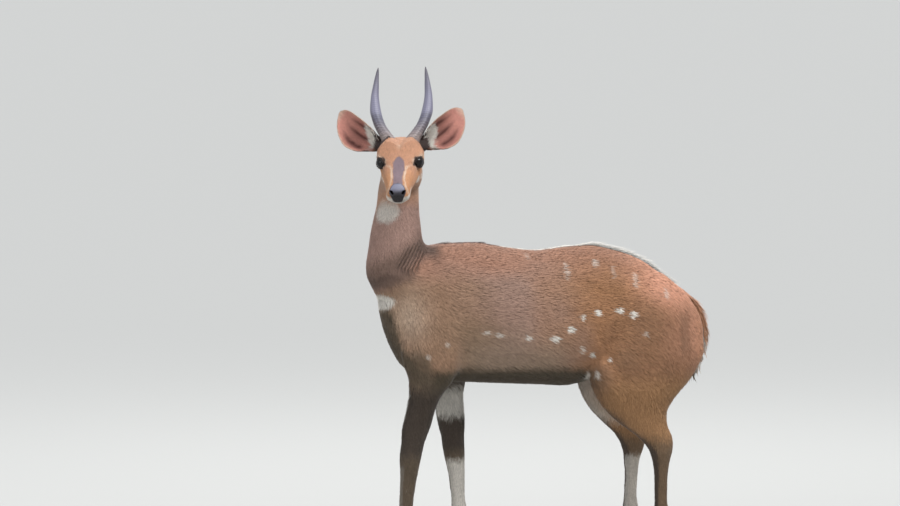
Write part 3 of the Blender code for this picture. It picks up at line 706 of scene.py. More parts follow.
# Ridges and furrows on both sides: path of (x, z) on the body, width, height
BODY_FORMS = (
    (((-0.205, 0.742), (-0.262, 0.64), (-0.318, 0.56)), 0.016, 0.0026),  # spine of the shoulder blade
    (((-0.16, 0.7), (-0.168, 0.6), (-0.192, 0.505)), 0.02, -0.0042),  # behind the shoulder
    (((-0.322, 0.5), (-0.262, 0.455), (-0.236, 0.42)), 0.016, 0.0026),  # upper arm
    (((-0.3, 0.668), (-0.352, 0.585), (-0.345, 0.515)), 0.014, -0.0026),  # in front of the shoulder
    (((-0.215, 0.56), (-0.245, 0.5)), 0.024, 0.0026),  # back of the upper arm
    (((-0.07, 0.47), (0.04, 0.462), (0.105, 0.48)), 0.016, -0.0018),  # edge of the ribs
    (((0.095, 0.66), (0.155, 0.62)), 0.03, -0.0048),  # hollow of the flank
    (((0.118, 0.52), (0.138, 0.455), (0.152, 0.415)), 0.013, 0.004),  # fold of the flank
    (((0.16, 0.56), (0.15, 0.48)), 0.016, -0.0022),  # behind that fold
    (((0.178, 0.722), (0.214, 0.706)), 0.015, 0.0036),  # point of the hip
    (((0.235, 0.69), (0.292, 0.61), (0.318, 0.5), (0.3, 0.41)), 0.013, -0.0024),
    (((0.33, 0.64), (0.352, 0.56), (0.345, 0.47)), 0.016, 0.002),  # back of the thigh
    (((0.185, 0.47), (0.16, 0.385)), 0.02, 0.002),  # stifle
)
RIB_STEP, RIB_HEIGHT = 0.031, 0.00055
NECK_FOLDS = 7
FOLD_STEP = 0.0096  # from one crease to the next
FOLD_DEPTH = 0.0036


def fold_gap(body):
    """Distance from the nearest crease at the bend of the neck, and how strongly it shows."""
    x, y, z = body.T
    first = -0.279 - 0.6 * (0.78 - z) + 2.2 * np.minimum(z - 0.74, 0) ** 2
    wave = 0.0011 * np.sin(120 * z + 1.0) + 0.0007 * np.sin(310 * z + 60 * x)
    number = (first - x + wave) / FOLD_STEP
    nearest = np.clip(np.round(number), 0, NECK_FOLDS - 1)
    gap = np.abs(number - nearest) * FOLD_STEP
    end = 0.79 - 0.004 * nearest
    foot = 0.698 + 0.005 * np.abs(nearest - 2)
    strength = step(foot - 0.01, foot + 0.012, z) * step(end + 0.008, end - 0.016, z)
    strength = strength * step(-0.8, -0.1, number) * step(NECK_FOLDS, NECK_FOLDS - 2.0, number)
    return gap, strength * step(-0.02, -0.05, y)


def shape_body(points, triangles):
    normals = normals_of(points, triangles)
    body = on_body(points)
    rise = np.zeros(len(points))
    flank = step(0.25, 0.7, np.abs(normals[:, 1])) * step(0.395, 0.43, body[:, 2] + 0.03)
    for path, width, height in BODY_FORMS:
        gap, _ = to_path(body[:, [0, 2]], path)
        rise += height * bell(gap, width) * flank
    barrel = bell(body[:, 0] + 0.02, 0.12) * bell(body[:, 2] - 0.575, 0.075)
    slant = body[:, 0] + 0.25 * (body[:, 2] - 0.575)
    rise += RIB_HEIGHT * np.cos(2 * pi * slant / RIB_STEP) * barrel * flank
    gap, strength = fold_gap(body)
    rise += strength * (FOLD_DEPTH * 0.4 - FOLD_DEPTH * bell(gap, 0.0024))
    return points + normals * rise[:, None]


LEG_SLICES, LEG_SLICE = 31, 0.01  # levels that a leg's front and back are taken at
KNEE, HOCK, FETLOCK = 0.242, 0.262, 0.077


def shape_legs(points, triangles):
    """Tendons, and the bones of knee, hock and fetlock."""
    normals = normals_of(points, triangles)
    rise = np.zeros(len(points))
    for leg in LEGS:
        low, high = corners_of(leg + "_lower")
        inside = ((points[:, 0] > low[0] - 0.02) & (points[:, 0] < high[0] + 0.06)
                  & (points[:, 1] > low[1] - 0.02) & (points[:, 1] < high[1] + 0.02)
                  & (points[:, 2] < 0.3) & (points[:, 2] > 0.03))
        mine = np.nonzero(inside)[0]
        height = points[mine, 2]
        slice_of = np.clip((height / LEG_SLICE).astype(int), 0, LEG_SLICES - 1)
        front, back = np.full(LEG_SLICES, 9.0), np.full(LEG_SLICES, -9.0)
        np.minimum.at(front, slice_of, points[mine, 0])
        np.maximum.at(back, slice_of, points[mine, 0])
        share = (points[mine, 0] - front[slice_of]) / np.maximum(back[slice_of] - front[slice_of], 1e-4)
        beside = step(0.45, 0.85, np.abs(normals[mine, 1]))
        cannon = step(0.085, 0.115, height) * step(0.235, 0.205, height)
        rise[mine] -= 0.0021 * bell(share - 0.57, 0.13) * beside * cannon
        rise[mine] += 0.0012 * bell(height - FETLOCK, 0.01) * beside
        joint = KNEE if leg.startswith("fore") else HOCK
        rise[mine] += 0.0013 * bell(height - joint + 0.012, 0.01) * beside * bell(share - 0.35, 0.3)
    return points + normals * rise[:, None]


# -------- skin: all of it

SKIN_ROUNDS, SEAM_ROUNDS, LID_ROUNDS, LID_REFINED = 7, 8, 12, 2


def make_skin():
    """One closed skin: the core without its coat, with ears, face and relief."""
    core = make_core()
    points = relaxed(points_of(core.data), edges_of(core.data), SKIN_ROUNDS)
    points -= normals_of(points, triangles_of(core.data)) * coat_depth(points)[:, None]
    put_points(core.data, points)
    for word in SIDES:
        ear = make_ear(word)
        union = core.modifiers.new("ear", "BOOLEAN")
        union.operation = "UNION"
        union.solver = "EXACT"
        union.object = ear
        settled(core)
        bpy.data.objects.remove(ear)
    refine(core)
    mesh = core.data
    points, edges, triangles = points_of(mesh), edges_of(mesh), triangles_of(mesh)
    ears = {word: Ear(word) for word in SIDES}
    found = ear_places(points, ears)
    leaf = step(0.004, 0.0022, found[:, 0]) * step(0.04, 0.16, found[:, 1])
    points = relaxed(points, edges, SEAM_ROUNDS, 0.5 * (1 - leaf))
    points = shape_body(points, triangles)
    points = shape_legs(points, triangles)
    points = heap_pedicles(points)
    points = shape_head(points, triangles)
    points = shape_muzzle(points, triangles)
    points = seat_eyes(points)
    put_points(mesh, points)
    refine(core, LID_REFINED)
    extra = np.zeros((len(mesh.vertices) - len(found), found.shape[1]))
    extra[:, 0] = 1.0
    found = np.concatenate((found, extra))
    points = points_of(mesh)
    loose = np.zeros(len(points))
    for eye, near in near_eyes(points, 0.04):
        edge = eye.clear(points[near])
        loose[near] = np.maximum(loose[near], step(0.0012, 0.0024, edge) * step(0.022, 0.014, edge))
    points = relaxed(points, edges_of(mesh), LID_ROUNDS, 0.5 * loose)
    put_points(mesh, points)
    mesh.shade_smooth()
    return core, found


# -------- places on the skin

BAKE_MAP = "OFBake"
UNWRAP_ANGLE, UNWRAP_MARGIN = radians(66), 0.0008
# Large odd numbers that scramble the corners of the noise's cells: x, y, z, seed, second round
SCRAMBLE = (73856093, 19349663, 83492791, 2654435761, 1274126177)
LOW_BITS, HALF_RANGE = 0x7FFFFFFF, 32767.5


def cloud(points, size, seed=0):
    """Smooth noise from -1 to 1 over cells of a size."""
    cell = np.asarray(points, float) / size + 1000.0
    base = np.floor(cell).astype(np.int64)
    part = cell - base
    part = part * part * (3 - 2 * part)
    total = np.zeros(len(cell))
    for corner in range(8):
        offset = np.array([(corner >> k) & 1 for k in range(3)])
        x, y, z = (base + offset).T
        by_x, by_y, by_z, by_seed, again = SCRAMBLE
        mixed = ((x * by_x) ^ (y * by_y) ^ (z * by_z) ^ (seed * by_seed)) & LOW_BITS
        mixed = ((mixed ^ (mixed >> 13)) * again) & LOW_BITS
        value = ((mixed ^ (mixed >> 16)) & 0xFFFF) / HALF_RANGE - 1.0
        total += value * np.where(offset, part, 1 - part).prod(axis=1)
    return total


def unwrap(thing):
    """Unwrap a piece into its own map."""
    bpy.ops.object.select_all(action="DESELECT")
    thing.select_set(True)
    bpy.context.view_layer.objects.active = thing
    bpy.ops.object.mode_set(mode="EDIT")
    bpy.ops.mesh.select_all(action="SELECT")
    bpy.ops.uv.smart_project(angle_limit=UNWRAP_ANGLE, island_margin=UNWRAP_MARGIN)
    bpy.ops.object.mode_set(mode="OBJECT")
    thing.data.uv_layers[0].name = BAKE_MAP


def put_layer(mesh, name, kind, values):
    """Store a value for each point of a mesh: FLOAT, FLOAT_VECTOR or FLOAT_COLOR."""
    layer = mesh.attributes.new(name, kind, "POINT")
    word = {"FLOAT": "value", "FLOAT_VECTOR": "vector", "FLOAT_COLOR": "color"}[kind]
    layer.data.foreach_set(word, np.ascontiguousarray(values, np.float32).ravel())


def get_layer(mesh, name, width):
    layer = mesh.attributes[name]
    values = np.empty(len(mesh.vertices) * width, np.float32)
    layer.data.foreach_get("value" if width == 1 else "vector", values)
    return values.reshape(-1, width).astype(float) if width > 1 else values.astype(float)


# Line of the tail's middle: height, x on the body
TAIL_LINE = ((0.432, 0.379), (0.47, 0.394), (0.505, 0.4065), (0.54, 0.4105), (0.57, 0.4035),
             (0.598, 0.388), (0.628, 0.359), (0.655, 0.32))


class Places:
    """Points on the skin with their places on the body, the head and the ears."""

    def __init__(self, points, normals, ear):
        self.points, self.normals = points, normals
        self.body, self.head = on_body(points), on_head(points)
        self.x, self.y, self.z = self.body.T
        self.ahead, self.left, self.out = self.head.T
        self.side = np.abs(self.left)
        self.low = level_on_head(self.head)
        self.gap, self.share, self.across, self.ear_side, inner = ear.T
        self.on_ear = step(0.005, 0.0032, self.gap) * step(0.02, 0.1, self.share)
        self.ear_inner = step(0.35, 0.65, inner) * self.on_ear
        skull = step(0.85, 0.905, self.z + 0.28 * (self.y + 0.02))
        jaw = step(0.0, 0.007, self.out + 0.077 - 0.22 * self.ahead) * step(-0.01, 0.02, self.ahead)
        self.on_head = np.maximum(skull, jaw) * (1 - self.on_ear)
        nape = step(-0.06, -0.09, self.ahead) * step(0.03, -0.02, self.out)
        self.nape = nape * self.on_head
        self.on_head = self.on_head * (1 - nape)
        neck = step(0.695, 0.75, self.z - 0.75 * (self.x + 0.33)) * step(-0.235, -0.265, self.x)
        self.on_neck = np.maximum(neck, step(0.83, 0.86, self.z)) * (1 - self.on_head) * (1 - self.on_ear)
        self.on_leg = step(0.43, 0.38, self.z)
        line = curve(TAIL_LINE, self.z)
        self.on_tail = (step(0.028, 0.02, np.abs(self.y)) * step(line - 0.022, line - 0.013, self.x)
                        * step(0.645, 0.62, self.z) * (self.x > 0.3))
        self.eye_gap = np.full(len(points), 1.0)
        for eye, near in near_eyes(points, 0.035):
            self.eye_gap[near] = eye.clear(points[near])
        self.horn_gap, self.horn_height = np.full((2, len(points)), 1.0)
        for word in SIDES:
            gap, height = beside_horn(points, word)[:2]
            nearer = gap < self.horn_gap
            self.horn_gap[nearer], self.horn_height[nearer] = gap[nearer], height[nearer]
        self.pad = pad_inside(self.head)
        self.nostril = nostril_gap(self.head)
        self.mouth, self.mouth_share = mouth_gap(self.head)


class Skin:
    """The finished skin as arrays."""

    def __init__(self):
        mesh = bpy.data.objects["skin"].data
        self.points, self.triangles = points_of(mesh), triangles_of(mesh)
        self.normals = normals_of(self.points, self.triangles)
        loops = np.empty(len(self.triangles) * 3, np.int32)
        mesh.loop_triangles.foreach_get("loops", loops)
        places = np.empty(len(mesh.loops) * 2, np.float32)
        mesh.uv_layers[BAKE_MAP].uv.foreach_get("vector", places)
        self.map = places.reshape(-1, 2)[loops].reshape(-1, 3, 2)
        self.ear = np.concatenate((get_layer(mesh, "ear_leaf", 3), get_layer(mesh, "ear_more", 3)), 1)[:, :5]
        self.tree = BVHTree.FromPolygons(self.points.tolist(), self.triangles.tolist())

    def middles(self):
        """The places of the triangles' middles."""
        parts = (self.points, self.normals, self.ear)
        points, normals, ear = (values[self.triangles].mean(1) for values in parts)
        return Places(points, unit(normals), ear)

    def onto(self, points):
        """The nearest points of the skin, and its normals there."""
        spots, ways = np.empty_like(points), np.empty_like(points)
        find = self.tree.find_nearest
        for number, point in enumerate(points.tolist()):
            spot, way, _, _ = find(point)
            spots[number], ways[number] = spot, way
        return spots, ways


def hair_lie(p):
    """The way the hair points along the skin."""
    count = len(p.points)
    lie = np.tile((1.0, 0.0, -0.2), (count, 1)) / np.hypot(1.0, 0.2)

    def turn(weight, way):
        nonlocal lie
        way = np.broadcast_to(np.asarray(way, float), (count, 3))
        way = unit(way)
        lie = unit(lie + (way - lie) * np.asarray(weight, float)[:, None])

    turn(step(0.64, 0.46, p.z) * 0.8, (0.75, 0, -0.65))
    turn(step(-0.19, -0.3, p.x) * step(0.74, 0.62, p.z), (0.45, 0, -0.9))
    turn(step(0.2, 0.34, p.x) * step(0.76, 0.66, p.z), (0.5, 0, -0.85))
    turn(step(-0.36, -0.39, p.x), (0.25, 0, -1.0))
    turn(step(0.46, 0.42, p.z) * step(0.2, 0.7, -p.normals[:, 2]), (1.0, 0, 0.0))
    turn(p.on_leg, (0.06, 0, -1.0))
    turn(p.on_neck, (0.22, 0, -1.0))
    turn(fold_gap(p.body)[1] * 0.9, (-0.55, 0, -0.85))
    turn(p.on_tail, (0.1, 0, -1.0))
    turn(p.on_head, np.array(from_head((-1.0, 0, 0))))
    jaw = p.on_head * step(-0.01, -0.035, p.out) * step(0.1, 0.05, p.ahead)
    turn(jaw, np.array(from_head((-1.0, 0, -0.45))))
    outwards = np.sign(p.left)[:, None] * np.array(LEFT) + 0.4 * np.array(UP)
    turn(p.on_head * step(0.028, 0.045, p.side) * step(-0.035, -0.055, p.ahead) * 0.8, outwards)
    climb = step(0.016, 0.004, p.horn_gap) * step(-0.045, -0.02, p.horn_height) * (1 - p.on_ear)
    turn(0.85 * climb, np.array(horn_frame("left")[3]))
    for word, side in SIDES.items():
        ear = Ear(word)
        fan = np.array(ear.tip.normalized()) + p.across[:, None] * 0.35 * np.array(ear.chord)
        turn(p.on_ear * (p.ear_side * side > 0), fan)
    lie -= p.normals * (lie * p.normals).sum(1)[:, None]
    return unit(lie)


# -------- markings, with painted light and shade

# White spots of flank and haunch: x, z, half length, half height, strength
SPOTS = (
    (-0.162, 0.557, 0.0085, 0.0045, 0.55), (-0.132, 0.551, 0.0095, 0.0045, 0.6),
    (-0.062, 0.5435, 0.0085, 0.005, 0.75), (0.005, 0.54, 0.0125, 0.0065, 0.95),
    (0.0425, 0.5616, 0.008, 0.009, 1.0), (0.0725, 0.5905, 0.005, 0.008, 0.95),
    (0.11, 0.6, 0.0085, 0.0068, 1.0), (0.167, 0.604, 0.008, 0.007, 0.95),
    (0.202, 0.5935, 0.0088, 0.008, 0.95), (0.074, 0.513, 0.006, 0.0095, 0.6),
    (0.101, 0.4996, 0.0068, 0.0068, 0.9), (0.145, 0.487, 0.005, 0.0058, 0.75),
    (0.119, 0.452, 0.0055, 0.009, 0.7), (-0.259, 0.532, 0.006, 0.005, 0.4),
    (-0.304, 0.503, 0.0065, 0.0045, 0.45), (0.097, 0.432, 0.0085, 0.024, 0.55),
    (0.232, 0.548, 0.006, 0.006, 0.35), (-0.055, 0.735, 0.004, 0.01, 0.3),
    (0.037, 0.7, 0.0045, 0.019, 0.4), (0.11, 0.717, 0.0055, 0.009, 0.45),
    (0.155, 0.695, 0.0045, 0.015, 0.25), (0.21, 0.676, 0.005, 0.018, 0.35),
    (0.292, 0.645, 0.0055, 0.011, 0.4),
)
CREST_FROM, CREST_TO = -0.118, 0.305  # x of the two ends of the white stripe along the back
CREST_HALF = 0.005
CHEST_PATH = ((-0.405, 0.64), (-0.386, 0.56), (-0.352, 0.48), (-0.3, 0.43))
BLAZE_HALF = ((0.017, 0.001), (0.023, 0.0055), (0.039, 0.0134), (0.061, 0.014), (0.09, 0.0114),
              (0.115, 0.0125))
FACE_LINE = ((0.038, 0.0315), (0.052, 0.018), (0.09, 0.0148), (0.112, 0.019), (0.128, 0.025))
EAR_HOLLOWS = (-0.56, -0.02, 0.5)  # places across the ear
EYE_CORNER = ((-0.014, 0.031), (-0.006, 0.0335), (0.004, 0.035), (0.011, 0.0385))


class Paint:
    """Colours laid over each other, each with its weight at every point."""

    def __init__(self, colours, count, ground):
        self.colours = colours
        self.tint = np.tile(np.array(colours[ground]), (count, 1)).astype(float)

    def lay(self, name, weight):
        weight = np.broadcast_to(np.clip(weight, 0, 1), (len(self.tint),))
        self.tint = self.tint + (np.array(self.colours[name]) - self.tint) * weight[:, None]


def egg(places, middle_at, radii, ragged, outer=1.25, inner=0.75):
    """An oval patch with a ragged edge: 0 beyond outer times its radii, 1 within inner times."""
    gap = np.sqrt((((places - np.array(middle_at)) / np.array(radii)) ** 2).sum(1))
    return step(outer, inner, gap + ragged)


def coat_colour(p, colours):
    """The colour of the hair at each place, with painted light and shade in places."""
    paint = Paint(colours, len(p.points), "side")
    ragged = 0.0045 * cloud(p.points, 0.006, 3) + 0.003 * cloud(p.points, 0.0022, 4)
    broad = cloud(p.points, 0.055, 5)
    paint_trunk(p, paint, ragged, broad)
    paint_neck(p, paint, ragged)
    paint_spots(p, paint, ragged)
    paint_legs(p, paint, 1.6 * ragged)
    paint.lay("tail", 0.8 * p.on_tail)
    behind = step(0.25, -0.35, p.normals[:, 0])
    paint.lay("white", p.on_tail * behind * step(0.6, 0.58, p.z) * 0.9)
    paint.lay("belly", p.on_tail * step(0.468, 0.452, p.z + ragged))
    paint_face(p, paint, 0.35 * ragged)
    throat = egg(p.body, (-0.395, -0.036, 0.85), (0.036, 0.04, 0.027), 18 * ragged, 1.2, 0.7)
    paint.lay("white", 0.85 * throat * (1 - step(0.0, 0.02, p.ahead) * p.on_head))
    paint_ears(p, paint)
    paint.lay("nose", step(-0.0006, 0.0006, p.pad))
    # Painted highlight: the top of the bare nose laid lighter and bluer.
    paint.lay("nose_top", 0.9 * step(0.0, 0.003, p.pad) * step(-0.072, -0.058, p.low))
    # Painted shade: the lower half of the bare nose laid near black with the nostril colour.
    paint.lay("nostril", 0.85 * step(0.0, 0.003, p.pad) * step(-0.066, -0.08, p.low))
    # Painted shade: the nostril holes laid near black inside.
    paint.lay("nostril", step(0.0006, -0.0012, p.nostril))
    mottle = 1 + 0.045 * broad + 0.05 * cloud(p.points, 0.016, 8)
    return np.clip(paint.tint * mottle[:, None], 0.002, 0.9)


def paint_trunk(p, paint, ragged, broad):
    x, y, z, lay = p.x, p.y, p.z, paint.lay
    flank = np.abs(y)
    lay("shoulder", step(-0.13, -0.26, x + 0.05 * broad) * step(0.74, 0.66, z))
    lay("shoulder_shade", 0.8 * bell(np.hypot((x + 0.215) / 1.5, z - 0.56), 0.05))
    lay("flank", step(-0.09, 0.15, x + 0.05 * broad + 0.25 * (z - 0.58)))
    lay("haunch", step(0.12, 0.22, x + 0.04 * broad) * step(0.67, 0.56, z + 0.02 * broad))
    lay("back", 0.85 * step(0.655, 0.745, z + 0.018 * broad) * step(0.3, 0.22, x))
    lay("rump", step(0.16, 0.28, x) * step(0.58, 0.68, z + 0.25 * (x - 0.25) + 0.015 * broad))
    lay("thigh", step(0.47, 0.4, z) * step(0.1, 0.16, x))
    lay("grey_side", 0.55 * step(0.6, 0.47, z + 0.012 * broad) * step(-0.26, -0.18, x)
        * step(0.1, -0.02, x))
    lay("belly", step(0.482, 0.452, z + ragged + 0.006 * broad) * step(0.16, 0.08, x) * step(-0.34, -0.28, x))
    # Painted light: the back of the haunch laid paler with the rump colour, as where the light falls.
    lay("rump", 0.6 * step(0.24, 0.4, x + 0.02 * broad) * step(0.42, 0.54, z) * step(0.68, 0.62, z))
    # Painted light: a cream patch lightens the front of the chest, where light is made to fall.
    lay("cream", 0.5 * bell(np.hypot(x + 0.345, (z - 0.6) / 1.5), 0.04))
    gap, _ = to_path(p.body[:, [0, 2]], CHEST_PATH)
    lay("belly", 0.9 * step(0.026, 0.008, gap + ragged) * step(0.65, 0.6, z))
    lay("belly", 0.75 * step(0.034, 0.016, flank + ragged) * step(-0.25, -0.33, x) * step(0.6, 0.55, z))
    # Painted shade: a dark patch at the elbow, where the foreleg meets the chest.
    lay("leg", 0.8 * egg(p.body[:, [0, 2]], (-0.332, 0.455), (0.04, 0.068), 12 * ragged, 1.2, 0.7))
    # Painted shade: a faint dark patch in the fold in front of the stifle.
    lay("belly", 0.25 * bell(np.hypot(x - 0.178, z - 0.485), 0.03))
    lay("tail", 0.4 * step(0.355, 0.385, x) * step(0.66, 0.6, z) * step(0.42, 0.46, z))
    between = step(0.318, 0.328, x) * step(0.352, 0.342, x) * step(0.47, 0.52, z) * step(0.63, 0.58, z)
    lay("belly", 0.3 * between * (flank > 0.02))


def paint_neck(p, paint, ragged):
    x, y, z, lay = p.x, p.y, p.z, paint.lay
    lay("neck", p.on_neck)
    lay("neck_shade", p.on_neck * 0.85 * step(0.79, 0.735, z - 0.55 * (x + 0.36)))
    # Painted shade: the far side of the neck laid darker.
    lay("neck_shade", p.on_neck * 0.5 * step(0.005, 0.035, y))
    collar = z + ragged - (0.68 + 0.25 * (x + 0.41))
    lay("collar", 0.55 * step(0.022, 0.008, np.abs(collar)) * step(-0.31, -0.35, x))
    gap, strength = fold_gap(p.body)
    # Painted shade: the creases of the neck folds laid dark.
    lay("collar", 0.95 * strength * step(0.0036, 0.0012, gap))
    # Painted shade: a dark patch where the neck meets the back, on the near side.
    lay("collar", 0.8 * bell(np.hypot(x + 0.283, (z - 0.75) / 1.5), 0.018) * step(-0.005, -0.03, y))
    lay("white", 0.95 * egg(p.body, (-0.388, 0, 0.635), (0.034, 0.062, 0.021), 16 * ragged, 1.12, 0.84))


def paint_spots(p, paint, ragged):
    """The white spots and the stripe along the back, a little different on the right side."""
    x, y, z = p.x, p.y, p.z
    wander = 0.002 * np.stack([cloud(p.points, 0.004, 6), cloud(p.points, 0.004, 7)], 1)
    streaky = np.stack([x, z], 1) + wander
    beside = step(0.03, 0.05, np.abs(y)) * step(0.4, 0.42, z)
    for number, (sx, sz, half, tall, strength) in enumerate(SPOTS):
        shift = 0.006 * np.where(y > 0, sin(number * 2.3 + 1.0), 0.0)
        gap = np.hypot((streaky[:, 0] - sx - shift) / half, (streaky[:, 1] - sz + shift * 0.6) / tall)
        paint.lay("white", strength * step(1.25, 0.8, gap) * beside)
    run = step(CREST_FROM - 0.02, CREST_FROM + 0.02, x) * step(CREST_TO + 0.03, CREST_TO - 0.03, x)
    on_top = step(0.6, 0.66, z)
    crest = np.abs(y) + 0.25 * ragged
    paint.lay("collar", 0.8 * step(CREST_HALF + 0.008, CREST_HALF + 0.003, crest) * run * on_top)
    ahead = step(-0.1, -0.14, x) * step(-0.27, -0.22, x)
    paint.lay("collar", 0.6 * step(0.008, 0.003, crest) * ahead * on_top)
    paint.lay("white", step(CREST_HALF + 0.0016, CREST_HALF - 0.0008, crest) * run * on_top)


def paint_legs(p, paint, ragged):
    """Dark shins, white inner patches, and the white marks above the hooves."""
    inner, ahead = np.zeros(len(p.points)), np.full(len(p.points), 0.5)
    for leg in LEGS:
        side = 1.0 if leg.endswith("left") else -1.0
        mine = (np.sign(p.y) == -side) & ((p.x > 0) == leg.startswith("hind"))
        inner = np.where(mine, step(-0.15, 0.45, p.normals[:, 1] * side), inner)
        ahead = np.where(mine, np.clip(0.5 - 0.5 * p.normals[:, 0], 0, 1), ahead)
    fore, hind = (p.x < 0), (p.x > 0)
    z, lay = p.z + ragged, paint.lay
    lay("leg", step(0.455, 0.395, z) * fore)
    lay("leg", 0.8 * step(0.315, 0.255, z) * hind)
    lay("leg_dark", step(0.4, 0.33, z) * step(0.6, 0.85, ahead) * hind * 0.75)
    lay("leg_dark", step(0.45, 0.395, z) * step(0.235, 0.275, z) * fore * 0.75)
    lay("white", 0.85 * inner * step(0.325, 0.355, z) * step(0.425, 0.395, z) * fore)
    lay("white", 0.45 * inner * step(0.3, 0.34, z) * step(0.47, 0.42, z) * hind)
    cannon = step(0.245, 0.225, z) * step(0.07, 0.095, z)
    edge = np.maximum(step(0.8, 0.94, ahead), step(0.16, 0.05, ahead))
    lay("white", 0.8 * cannon * np.maximum(0.22 * edge, step(0.25, 0.8, inner + 40 * ragged)) * fore)
    lay("white", 0.6 * cannon * step(0.55, 0.85, inner) * hind)
    lay("leg_dark", step(0.09, 0.072, z))
    lay("white", 0.85 * bell(p.z - 0.056, 0.011) * step(0.68, 0.8, ahead) * step(0.1, 0.05, p.z))
    lay("leg_dark", 0.8 * step(0.046, 0.038, z))


def paint_face(p, paint, small):
    ahead, side, out, head = p.ahead, p.side, p.out, p.on_head
    place = np.stack([ahead, side, out], 1)
    lay = paint.lay
    lay("cheek", head)
    lay("jaw", np.minimum(1.0, 1.2 * p.nape))
    lay("forehead", head * step(-0.004, 0.016, out + 0.25 * ahead + small) * step(0.08, 0.04, ahead))
    lay("jaw", head * step(-0.022, -0.046, out + small) * step(0.125, 0.1, ahead))
    half = curve(BLAZE_HALF, ahead)
    on_top = step(0.0, 0.008, out) * step(0.014, 0.026, ahead + small)
    inside = half - side + small
    lay("blaze", 0.92 * head * on_top * step(-0.0018, 0.0018, inside))
    line, _ = to_path(place[:, :2], FACE_LINE)
    fresh = step(0.038, 0.062, ahead) * (0.6 + 0.4 * step(0.1, 0.075, ahead))
    lay("cream", 0.8 * head * step(0.0034, 0.0006, line + small) * step(-0.012, -0.004, out)
        * (0.35 + 0.65 * fresh))
    lay("cream", 0.35 * head * bell(np.hypot(ahead + 0.01, side), 0.007) * step(0.0, 0.01, out))
    lips = step(0.088, 0.108, ahead) * step(0.0145, 0.0085, p.mouth + small) * step(-0.03, -0.025, out)
    lay("white", 0.95 * lips)
    lay("white", 0.85 * head * step(0.06, 0.095, ahead) * step(-0.02, -0.026, out + small))
    lay("dark", 0.85 * head * step(0.0016, 0.0006, p.mouth) * step(1.02, 0.92, p.mouth_share))
    lay("white", 0.8 * head * egg(place, (0.03, 0.046, -0.034), (0.01, 0.02, 0.0085), 20 * small))
    lay("white", 0.55 * head * egg(place, (0.008, 0.048, -0.044), (0.008, 0.02, 0.0065), 20 * small))
    lay("cream", 0.55 * head * bell(p.eye_gap - 0.0075, 0.003))
    lay("white", 0.8 * egg(place, (-0.03, 0.058, -0.004), (0.01, 0.01, 0.008), 20 * small, 1.2, 0.7))
    limit = curve(EYE_CORNER, p.low)
    corner = step(limit - 0.0012, limit + 0.0012, side + small) * step(-0.015, -0.0115, p.low + small)
    corner = corner * step(0.0125, 0.0085, p.low + small) * step(0.0135, 0.0105, p.eye_gap)
    corner = corner * step(0.006, 0.012, ahead)
    lay("dark", 0.92 * head * corner)
    lay("dark", step(0.0046, 0.0028, p.eye_gap + small))
    # Dark hair round the ear's root and between ear and horn, laid also as painted shade at the root.
    nest = egg(place[:, :2], (-0.068, 0.044), (0.024, 0.017), 12 * small, 1.2, 0.85)
    lay("ear_base", 0.95 * head * nest * step(-0.04, -0.022, out))
    beside = side - 0.034 - 1.03 * (1.024 - p.z) + 2.0 * small
    beside = step(-0.002, 0.004, beside) * step(-0.015, -0.03, ahead) * step(0.935, 0.955, p.z)
    lay("ear_base", 0.95 * (1 - p.on_ear) * beside)
    # Painted shade: the head's skin next to the ear's root, under the ear, laid dark.
    lay("ear_base", 0.8 * (1 - p.on_ear) * head * step(0.009, 0.004, p.gap + small)
        * step(0.935, 0.95, p.z))
    lay("ear_base", 0.25 * head * step(0.014, 0.004, side + small) * step(-0.05, -0.066, ahead))


def ear_fringe(p):
    """How far out the white hair reaches in the ear: farther along its upper edge."""
    return np.clip(0.24 + 6.0 * (p.z - 1.018), 0.14, 0.38)


def paint_ears(p, paint):
    lay, outer = paint.lay, p.on_ear * (1 - p.ear_inner)
    lay("ear_back", outer)
    lay("ear_base", outer * step(0.34, 0.16, p.share))
    lay("ear_inside", p.ear_inner)
    hollow = np.maximum.reduce([bell(p.across - place, 0.13) for place in EAR_HOLLOWS])
    depth = step(0.2, 0.3, p.share) * step(0.82, 0.46, p.share)
    # Painted shade: the hollows inside the ear and the deep middle of its cup laid darker.
    lay("ear_deep", 0.95 * p.ear_inner * depth * hollow)
    lay("ear_deep", 0.22 * p.ear_inner * depth * step(0.97, 0.72, np.abs(p.across)))
    edge, wavy = ear_fringe(p), p.share + 0.02 * np.sin(23 * p.across)
    fringe = step(edge + 0.05, edge - 0.05, wavy) * step(0.05, 0.12, p.share)
    lay("white", 0.85 * p.ear_inner * fringe * step(0.988, 1.0, p.z))
    rim = step(0.86, 0.97, np.maximum(np.abs(p.across), p.share)) * step(0.22, 0.4, p.share)
    lay("cream", 0.6 * p.on_ear * rim)


def bare_skin(p):
    """How far the skin is bare and smooth: nose, lids and the inside of the nostrils."""
    return np.maximum.reduce([step(-0.0006, 0.0006, p.pad), step(0.0006, -0.0006, p.nostril),
                              step(0.003, 0.0018, p.eye_gap)])


# -------- tufts of hair

